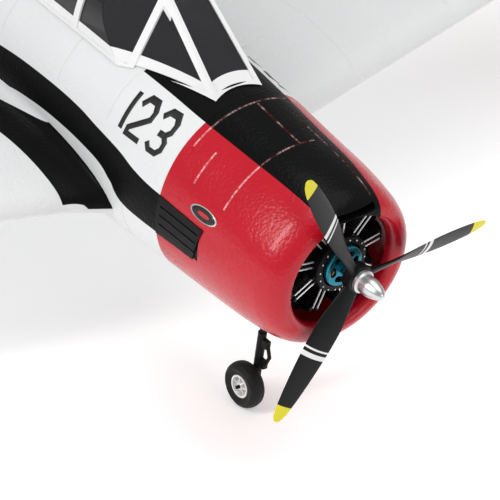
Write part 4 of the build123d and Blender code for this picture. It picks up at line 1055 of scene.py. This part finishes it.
def wing_cutters():
    """Wheel well, leg slot, retract bay and the slots of the two control linkages."""
    ends = [place(WELL_STATION, WELL_SIDE, height) for height in (BELOW_WING, WELL_ROOF)]
    cutters = [cylinder_mesh("wheel_well_cut", *ends, WELL_RADIUS, steps=72)]
    for name, half, sides, roof in (("leg_slot", SLOT_HALF, (WELL_SIDE, SLOT_OUTER), SLOT_ROOF),
                                    ("retract_bay", BAY_HALF, BAY_SIDES, BAY_ROOF)):
        stations = (WELL_STATION - half, WELL_STATION + half)
        cutters.append(box_mesh(f"{name}_cut", stations, sides, (BELOW_WING, roof)))
    for name, y, upper, pivot in WING_LINKS:
        left, right = pivot[0] - 19, pivot[0] + 15
        low, high = pivot[1] - 29, pivot[1] + 5
        outline = [(left, low), (right, low), (right, high), (left, high)]
        cutters.append(prism(f"{name}_arm_cut", hinge_point(y, upper), hinge_axes(upper), outline, -1.6, 2.8))
    return cutters


plain_wing = wing_mesh()
flap_room = trailing_prism("flap_room", FLAP_Y, -HINGE_GAP, 0.0)
aileron_room = trailing_prism("aileron_room", AILERON_Y, -HINGE_GAP, 0.0)
flap_space = trailing_prism("flap_space", FLAP_Y, HINGE_GAP, 0.0)
aileron_space = trailing_prism("aileron_space", AILERON_Y, HINGE_GAP, 30.0)
flap_left = carve(plain_wing.copy(), [flap_space], "INTERSECT")
aileron_left = carve(plain_wing.copy(), [aileron_space], "INTERSECT")
wing_left = carve(plain_wing, [flap_room, aileron_room] + wing_cutters())
for side, shape in (("left", wing_left), ("right", mirrored("wing_right", wing_left))):
    new_piece(f"wing_skin_{side}", shape, [WING_TOP, WING_UNDER], "airframe", [f"wing_{side}"])

FLAP_HORN, FLAP_ROOT = (4.0, -12.5), (9.0, 2.0)
AILERON_HORN, AILERON_ROOT = (5.0, -22.5), (13.0, -8.0)
HORN_WIDTH = 6.0
HORN_TIP = 2.6
HORN_SIDES = (-0.8, 1.2)
PIN_HOLE = 1.05


def horn_mesh(name, origin, axes, root, tip):
    """Tapered horn plate from its root in the foam to its pin hole."""
    aft, lift, outboard = axes
    run = Vector((tip[0] - root[0], tip[1] - root[1]))
    along = run.normalized()
    across = Vector((-along.y, along.x))
    outline = []
    for step in range(9):
        turn = radians(-90 + 22.5 * step)
        outline.append(Vector(tip) + along * HORN_TIP * cos(turn) + across * HORN_TIP * sin(turn))
    base = Vector(root)
    outline += [base + across * HORN_WIDTH * 0.75, base - across * HORN_WIDTH * 0.75]
    start, end = HORN_SIDES
    plate = prism(name, origin, axes, [(point.x, point.y) for point in outline], start, end)
    centre = origin + aft * tip[0] * MM + lift * tip[1] * MM
    ends = [centre + outboard * distance * MM for distance in (start - 1, end + 1)]
    hole = cylinder_mesh(f"{name}_hole", *ends, PIN_HOLE, steps=20, rounding=0.0)
    return carve(plate, [hole])


for base, mesh, y, upper, root, tip in (
    ("flap", flap_left, FLAP_LINK_Y, False, FLAP_ROOT, FLAP_HORN),
    ("aileron", aileron_left, AILERON_LINK_Y, True, AILERON_ROOT, AILERON_HORN),
):
    horn = horn_mesh(f"{base}_horn", hinge_point(y, upper), hinge_axes(upper), root, tip)
    twins = mirrored(base, mesh), mirrored(f"{base}_horn", horn)
    for side, shape, plate in (("left", mesh, horn), ("right", *twins)):
        body = f"{base}_{side}"
        new_piece(f"{base}_skin_{side}", shape, [WING_TOP, WING_UNDER], body, [body])
        new_piece(f"{base}_horn_{side}", plate.copy(), [NYLON], body)

FILLET_FRONT, FILLET_REAR = 208.0, 488.0
FILLET_SIZE = (4.0, 14.0)


def fillet_mesh(name, upper):
    """Soft foam fillet where the wing's skin meets the fuselage side, port; it widens aft."""
    rows = []
    for station in even(FILLET_FRONT, FILLET_REAR, 60):
        ends = min((station - FILLET_FRONT) / 20.0, (FILLET_REAR - station) / 60.0, 1.0)
        wide = min((station - FILLET_FRONT) / 200.0, 1.0)
        size = FILLET_SIZE[0] + (FILLET_SIZE[1] - FILLET_SIZE[0]) * wide
        size *= 0.12 + 0.88 * sqrt(max(ends, 0.0))
        sign = 1 if upper else -1
        y = hull_side(station, -20.0)
        for _ in range(8):
            y = hull_side(station, wing_height(station, y, upper))
        level = wing_height(station, y, upper)
        top = Vector((hull_side(station, level + sign * size) - 0.15, level + sign * size))
        end = Vector((y + size, wing_height(station, y + size, upper) - sign * 0.15))
        corner = Vector((y, level))
        row = []
        for step in range(9):
            share = step / 8
            spot = top * (1 - share) ** 2 + corner * 2 * share * (1 - share) + end * share**2
            row.append(place(station, spot.x, spot.y))
        row.append(place(station, y - 2.0, level - sign * 2.0))
        rows.append(row)
    return quad_mesh(name, rows, loop=True, caps=True)


for label, upper in (("upper", True), ("lower", False)):
    fillet = fillet_mesh(f"{label}_fillet", upper)
    look = WING_TOP if upper else WING_UNDER
    for side, shape in (("right", mirrored(f"{label}_fillet_right", fillet)), ("left", fillet)):
        new_piece(f"wing_fillet_{label}_{side}", shape, [look], "airframe")

# ---------------------------------------------------------------- propeller

BLADE_TABLE = [(9, 12.0, 6.5), (26, 15.5, 5.0), (48, 20.5, 3.6), (74, 21.5, 2.7), (102, 18.5, 2.1),
               (122, 13.5, 1.6), (130, 9.0, 1.3), (133.35, 3.5, 1.0)]
BLADES = 3
BLADE_REST = 1.4
PITCH = 203.0
STEEPEST = 42


def spoke_directions(turn):
    """Directions outward and sideways of a spoke about the thrust line."""
    return Vector((0, cos(turn), sin(turn))), Vector((0, -sin(turn), cos(turn)))


def blade_mesh(turn):
    """One twisted blade, thin at its edges, round at its tip."""
    outward, ahead = spoke_directions(turn)
    radii = even(9.0, 120.0, 46) + [122.5, 125.0, 127.2, 129.2, 130.8, 132.0, 132.8, 133.2]
    rows = []
    for radius in radii:
        chord, thickness = smooth_row(BLADE_TABLE, radius)
        angle = min(atan(PITCH / (2 * pi * radius)), radians(STEEPEST))
        lead = ahead * cos(angle) + Vector((1, 0, 0)) * sin(angle)
        lift = outward.cross(lead)
        row = []
        for step in range(32):
            around = 2 * pi * step / 32
            along = chord / 2 * cos(around)
            thick = thickness * 0.42 * copysign(abs(sin(around)) ** 1.3, sin(around))
            row.append(HUB + (outward * radius + lead * along + lift * thick) * MM)
        rows.append(row)
    return quad_mesh("blade", rows, loop=True, caps=True)


HUB_PROFILE = [(-5.4, 2.6), (-5.4, 11.0), (-4.6, 11.8), (3.9, 11.8), (5.0, 11.0), (5.4, 9.8), (5.4, 2.6)]
hub_disc = spun("blade_hub", HUB_PROFILE, HUB, (1, 0, 0), steps=72, loop=True)
blades = [blade_mesh(radians(BLADE_REST + 360 / BLADES * number)) for number in range(BLADES)]
new_piece("propeller_blades", merged("propeller_blades", blades + [hub_disc]), [BLADE], "propeller",
          ["propeller"])

# ---------------------------------------------------------------- dummy engine

CYLINDERS = 9
ENGINE_STATION = 34.5
BARREL = 6.5
FIN_RADIUS = 7.9
FIN_SPREAD = 0.085
FIN_START, FIN_PITCH, FINS = 25.0, 2.2, 9
ROCKER = 2.4
BOLT_CIRCLE = 22.4


def cylinder_barrel(number):
    """Finned barrel and head of one cylinder."""
    turn = radians(90 + 360 / CYLINDERS * number)
    outward, tangent = spoke_directions(turn)
    centre = place(ENGINE_STATION, 0, 0)
    profile = [(19.0, 0.0), (19.0, BARREL)]
    for fin in range(FINS):
        start = FIN_START + FIN_PITCH * fin
        bulge = FIN_RADIUS + FIN_SPREAD * (start - FIN_START)
        profile += [(start, BARREL), (start + 0.3, bulge - 0.3), (start + 0.7, bulge),
                    (start + 1.1, bulge - 0.3), (start + 1.4, BARREL)]
    profile += [(45.5, BARREL), (46.5, 7.4), (48.2, 7.0), (49.0, 5.0), (49.2, 0.0)]
    meshes = [spun("barrel", profile, centre, outward, steps=40)]
    for side in (-1, 1):
        base = centre + outward * 44.5 * MM + tangent * side * 3.6 * MM
        ends = [base + Vector((ahead, 0, 0)) * MM for ahead in (4.2, 9.2)]
        meshes.append(cylinder_mesh("rocker", *ends, ROCKER, steps=20, rounding=0.9))
    return meshes


engine_parts = []
for number in range(CYLINDERS):
    engine_parts += cylinder_barrel(number)
BACK_PROFILE = [(-45.6, 19.7), (-45.6, 54.8), (-42.4, 54.8), (-42.0, 50.0), (-43.0, 44.0),
                (-42.2, 30.0), (-42.2, 19.7)]
engine_parts.append(spun("back_plate", BACK_PROFILE, HUB, (1, 0, 0), steps=96, loop=True))
new_piece("engine_block", merged("engine_block", engine_parts), [ENGINE_PLASTIC], "airframe",
          ["dummy_engine"])

bolts = []
for number in range(CYLINDERS * 2):
    turn = radians(90 + 180 / CYLINDERS * (number + 0.5))
    spot = place(17.9, BOLT_CIRCLE * cos(turn), BOLT_CIRCLE * sin(turn))
    bolts.append(spun("bolt", [(0, 0.75), (0.5, 0.7), (0.7, 0.35), (0.72, 0.0)], spot, (1, 0, 0), steps=12))
new_piece("crankcase_bolts", merged("crankcase_bolts", bolts), [SILVER_TUBE], "airframe")

# ---------------------------------------------------------------- wheels and legs


SPOKES = 6


def tyre_profile(radius, rim, width):
    """Closed tyre section: rounded tread with two grooves, bulged walls, bead seat."""
    half = width / 2
    points = []
    for step in range(25):
        turn = radians(-78 + 6.5 * step)
        along = half * sin(turn) / sin(radians(78))
        level = rim + (radius - rim) * (0.30 + 0.70 * cos(turn) ** 0.62)
        groove = 0.35 if step in (9, 15) else 0.0
        points.append((along, level - groove))
    top = points[12][1]
    points = [(along, level + radius - top) for along, level in points]
    return [(-half * 0.72, rim)] + points + [(half * 0.72, rim)]


def wheel(label, centre, radius, rim, width, body, replaced):
    """Tyre, and a hub of rim, boss, web and spokes on both sides."""
    tyre = spun(f"{label}_tyre", tyre_profile(radius, rim, width), centre, (0, 1, 0), steps=96, loop=True)
    new_piece(f"{label}_tyre_skin", tyre, [RUBBER], body, [replaced[0]])
    half = width / 2 - 1.3
    rim_profile = [(-half, rim - 1.6), (-half, rim - 0.1), (half, rim - 0.1), (half, rim - 1.6),
                   (half * 0.4, rim - 2.2), (-half * 0.4, rim - 2.2)]
    boss = rim * 0.34
    boss_profile = [(-half, 1.6), (-half, boss - 0.4), (-half + 0.4, boss),
                    (half - 0.4, boss), (half, boss - 0.4), (half, 1.6)]
    web_profile = [(-1.0, boss - 0.3), (-0.6, rim - 1.9), (0.6, rim - 1.9), (1.0, boss - 0.3)]
    parts = []
    rings = (("rim", rim_profile, 72), ("boss", boss_profile, 48), ("web", web_profile, 72))
    for name, profile, steps in rings:
        parts.append(spun(name, profile, centre, (0, 1, 0), steps=steps, loop=True))
    for number in range(SPOKES):
        turn = 2 * pi * number / SPOKES
        outward = Vector((cos(turn), 0, sin(turn)))
        beside = Vector((-sin(turn), 0, cos(turn)))
        for side in (-1, 1):
            rows = []
            for reach, thick, rise in ((boss - 0.6, 1.3, half * 0.92), (rim * 0.62, 0.85, half * 0.66),
                                       (rim - 1.7, 1.1, half * 0.72)):
                section = ((thick, 0.6), (thick * 0.6, rise), (-thick * 0.6, rise), (-thick, 0.6))
                rows.append([centre + (outward * reach + beside * across + Vector((0, side * up, 0))) * MM
                             for across, up in section])
            parts.append(quad_mesh("spoke", rows, loop=True, caps=True))
    new_piece(f"{label}_rim", merged(f"{label}_rim", parts), [HUB_SILVER], body, [replaced[1]])


NOSE_WHEEL = Vector(JOINTS["nose_wheel_spin"]["pos_m"])
wheel("nose", NOSE_WHEEL, 20.0, 10.0, 14.5, "nose_wheel", ("nose_tyre", "nose_hub"))
for side, flip in (("left", 1), ("right", -1)):
    centre = Vector((MAIN_WHEEL.x, MAIN_WHEEL.y * flip, MAIN_WHEEL.z))
    wheel(f"main_{side}", centre, 25.0, 13.0, 16.0, f"main_wheel_{side}",
          (f"main_tyre_{side}", f"main_hub_{side}"))

# ---------------------------------------------------------------- markings

DIGIT_HEIGHT = (34.5, 66.0)
STROKE = 4.4
DECAL_LIFT = 0.12
# Strokes of each digit, as shares of its width and height.
DIGITS = {
    "1": [[(0.5, 0.0), (0.5, 1.0)]],
    "2": [[(0.0, 0.80), (0.25, 1.0), (0.75, 1.0), (1.0, 0.82), (1.0, 0.62), (0.0, 0.16), (0.0, 0.0),
           (1.0, 0.0)]],
    "3": [[(0.0, 0.84), (0.25, 1.0), (0.75, 1.0), (1.0, 0.84), (1.0, 0.64), (0.75, 0.5), (1.0, 0.36),
           (1.0, 0.16), (0.75, 0.0), (0.25, 0.0), (0.0, 0.16)], [(0.35, 0.5), (0.75, 0.5)]],
}


def stroke_mesh(line, side):
    """Flat stroke along a line of (station, height) points, laid on the fuselage side."""
    dense = []
    for start, end in zip(line, line[1:]):
        a, b = Vector(start), Vector(end)
        count = max(2, int((b - a).length / 1.5))
        dense += [a.lerp(b, step / count) for step in range(count)]
    dense.append(Vector(line[-1]))
    rows = []
    for index, spot in enumerate(dense):
        before = (spot - dense[index - 1]).normalized() if index else (dense[1] - spot).normalized()
        after = (dense[index + 1] - spot).normalized() if index < len(dense) - 1 else before
        along = (before + after).normalized()
        across = Vector((-along.y, along.x)) * (STROKE / 2 / max(along.dot(before), 0.6))
        row = []
        for share in (-1, -0.33, 0.33, 1):
            at = spot + across * share
            row.append(place(at.x, side * (hull_side(at.x, at.y) + DECAL_LIFT), at.y))
        rows.append(row)
    return quad_mesh("stroke", rows)


def number_mesh(name, text, spans, side):
    """Row of block digits; each has a pair of stations for its left and right."""
    low, high = DIGIT_HEIGHT[0] + STROKE / 2, DIGIT_HEIGHT[1] - STROKE / 2
    strokes = []
    for digit, (left, right) in zip(text, spans):
        for line in DIGITS[digit]:
            spots = [(left + (right - left) * u, low + (high - low) * v) for u, v in line]
            strokes.append(stroke_mesh(spots, side))
    return finished(merged(name, strokes), ("SOLIDIFY", {"thickness": 0.1 * MM, "offset": 0.0}))


SIDE_NUMBER = "123"
STARBOARD_SPANS = [(212.5, 212.5), (205.0, 189.5), (182.0, 166.5)]
PORT_SPANS = [(166.5, 166.5), (174.0, 189.5), (197.0, 212.5)]
for label, side, spans in (("starboard", -1, STARBOARD_SPANS), ("port", 1, PORT_SPANS)):
    name = f"side_number_{label}"
    new_piece(name, number_mesh(name, SIDE_NUMBER, spans, side), [DECAL_BLACK], "airframe")

PLATE = (102.0, 21.0)
PLATE_SIZE = (15.0, 5.6)
# Layers of the label: share of its length and height, lift off the skin, look
PLATE_LAYERS = [("rim", (1.0, 1.0), 0.10, DECAL_SILVER), ("field", (0.88, 0.88), 0.17, DECAL_BLACK),
                ("bar", (0.45, 0.3), 0.24, DECAL_RED)]


def plate_mesh(name, size, lift, side):
    """Plain oval label on the cowl side."""
    rows = []
    for ring in (0.001, 0.35, 0.7, 1.0):
        row = []
        for step in range(40):
            turn = 2 * pi * step / 40
            station = PLATE[0] + ring * size[0] * cos(turn)
            height = PLATE[1] + ring * size[1] * sin(turn)
            row.append(place(station, side * (hull_side(station, height) + lift), height))
        rows.append(row)
    mesh = quad_mesh(name, rows, loop=True)
    return finished(mesh, ("SOLIDIFY", {"thickness": 0.08 * MM, "offset": 0.0}))


for label, side in (("starboard", -1), ("port", 1)):
    for part, shares, lift, look in PLATE_LAYERS:
        name = f"plate_{part}_{label}"
        size = [length * share for length, share in zip(PLATE_SIZE, shares)]
        new_piece(name, plate_mesh(name, size, lift, side), [look], "airframe")

# ---------------------------------------------------------------- canopy sill

SILL_HEIGHT = 6.5
SILL_PROUD = 0.3


def near_hull_mesh():
    """Closed volume that stands a sill's height outside the fuselage skin."""
    rows = []
    for station in even(152.0, 520.0, 80):
        turns = [2 * pi * step / 120 for step in range(120)]
        rows.append([place(station, *ring_point(HULL_TABLE, station, turn, -SILL_HEIGHT)) for turn in turns])
    return quad_mesh("near_hull", rows, loop=True, caps=True)


glass = NODES["canopy_glass"].data.copy()
glass = finished(glass, ("DISPLACE", {"strength": SILL_PROUD * MM, "mid_level": 0.0}))
sill = carve(glass, [near_hull_mesh()], "INTERSECT")
new_piece("canopy_sill", sill, [FRAME_WHITE], "canopy")

# ---------------------------------------------------------------- cockpit

# station, half width, height of the middle
COAMING_FOOT = 78
COAMING_ROWS = [(196, 18, 82), (206, 24, 88), (218, 28, 91), (228, 30, 92), (233, 30, 90)]


def coaming_mesh():
    """Curved hood over the front instrument panel."""
    rows = []
    for station, half_width, crown in COAMING_ROWS:
        row = []
        for step in range(17):
            turn = pi * step / 16
            height = COAMING_FOOT + (crown - COAMING_FOOT) * sin(turn) ** 0.7
            row.append(place(station, half_width * cos(turn), height))
        rows.append(row)
    mesh = quad_mesh("coaming", rows)
    return finished(mesh, ("SOLIDIFY", {"thickness": 1.5 * MM, "offset": -1.0}))


new_piece("cockpit_coaming", coaming_mesh(), [COAMING], "canopy")

# ---------------------------------------------------------------- studio

LENS = 262.16
VIEW_FROM_HUB = Vector((1.57814, -1.63447, 1.63895))
VIEW_RIGHT = Vector((0.62642, 0.77095, 0.11535))
VIEW_UP = Vector((-0.51429, 0.29746, 0.80448))

WORLD_STRENGTH = 0.42
floor_rows = [[Vector((x, y, 0.0)) for x in even(-30, 30, 9)] for y in even(-30, 30, 9)]
floor = linked("floor", quad_mesh("floor", floor_rows))
floor.data.materials[0] = plain("studio_floor", grey(0.93), 0.8, size=400.0, amount=0.01, depth=0.01,
                                Emission_Color=grey(1), Emission_Strength=0.3, Specular_IOR_Level=0.1)

world = bpy.data.worlds.new("studio")
world.use_nodes = True
background = world.node_tree.nodes["Background"].inputs
background["Color"].default_value = grey(1)
background["Strength"].default_value = WORLD_STRENGTH
bpy.context.scene.world = world
bpy.context.scene.view_settings.view_transform = "Standard"


def softbox(name, target, direction, distance, size, power):
    """Rectangular soft light that faces its target."""
    light = bpy.data.lights.new(name, "AREA")
    light.shape = "RECTANGLE"
    light.size, light.size_y = size
    light.energy = power
    way = Vector(direction).normalized()
    facing = way.to_track_quat("Z", "Y").to_matrix().to_4x4()
    linked(name, light).matrix_world = Matrix.Translation(target + way * distance) @ facing


COWL_SHOULDER = place(26.3, -55.1, 37.6)
softbox("starboard_softbox", COWL_SHOULDER, (-0.132, -0.773, 0.621), 1.8, (0.3, 1.3), 16)
softbox("top_softbox", Vector((0, 0, 0.2)), (0.2, 0.25, 1.0), 2.6, (2.0, 2.0), 26)
softbox("front_softbox", Vector((0.3, 0, 0.2)), (1.0, 0.15, 0.35), 2.8, (1.2, 0.9), 10)

camera_data = bpy.data.cameras.new("photo_camera")
camera_data.lens = LENS
camera_data.sensor_width = 36.0
camera_data.clip_end = 100.0
camera = linked("photo_camera", camera_data)
axes = Matrix((VIEW_RIGHT, VIEW_UP, VIEW_RIGHT.cross(VIEW_UP))).transposed().to_4x4()
camera.matrix_world = Matrix.Translation(HUB + VIEW_FROM_HUB) @ axes
bpy.context.scene.camera = camera
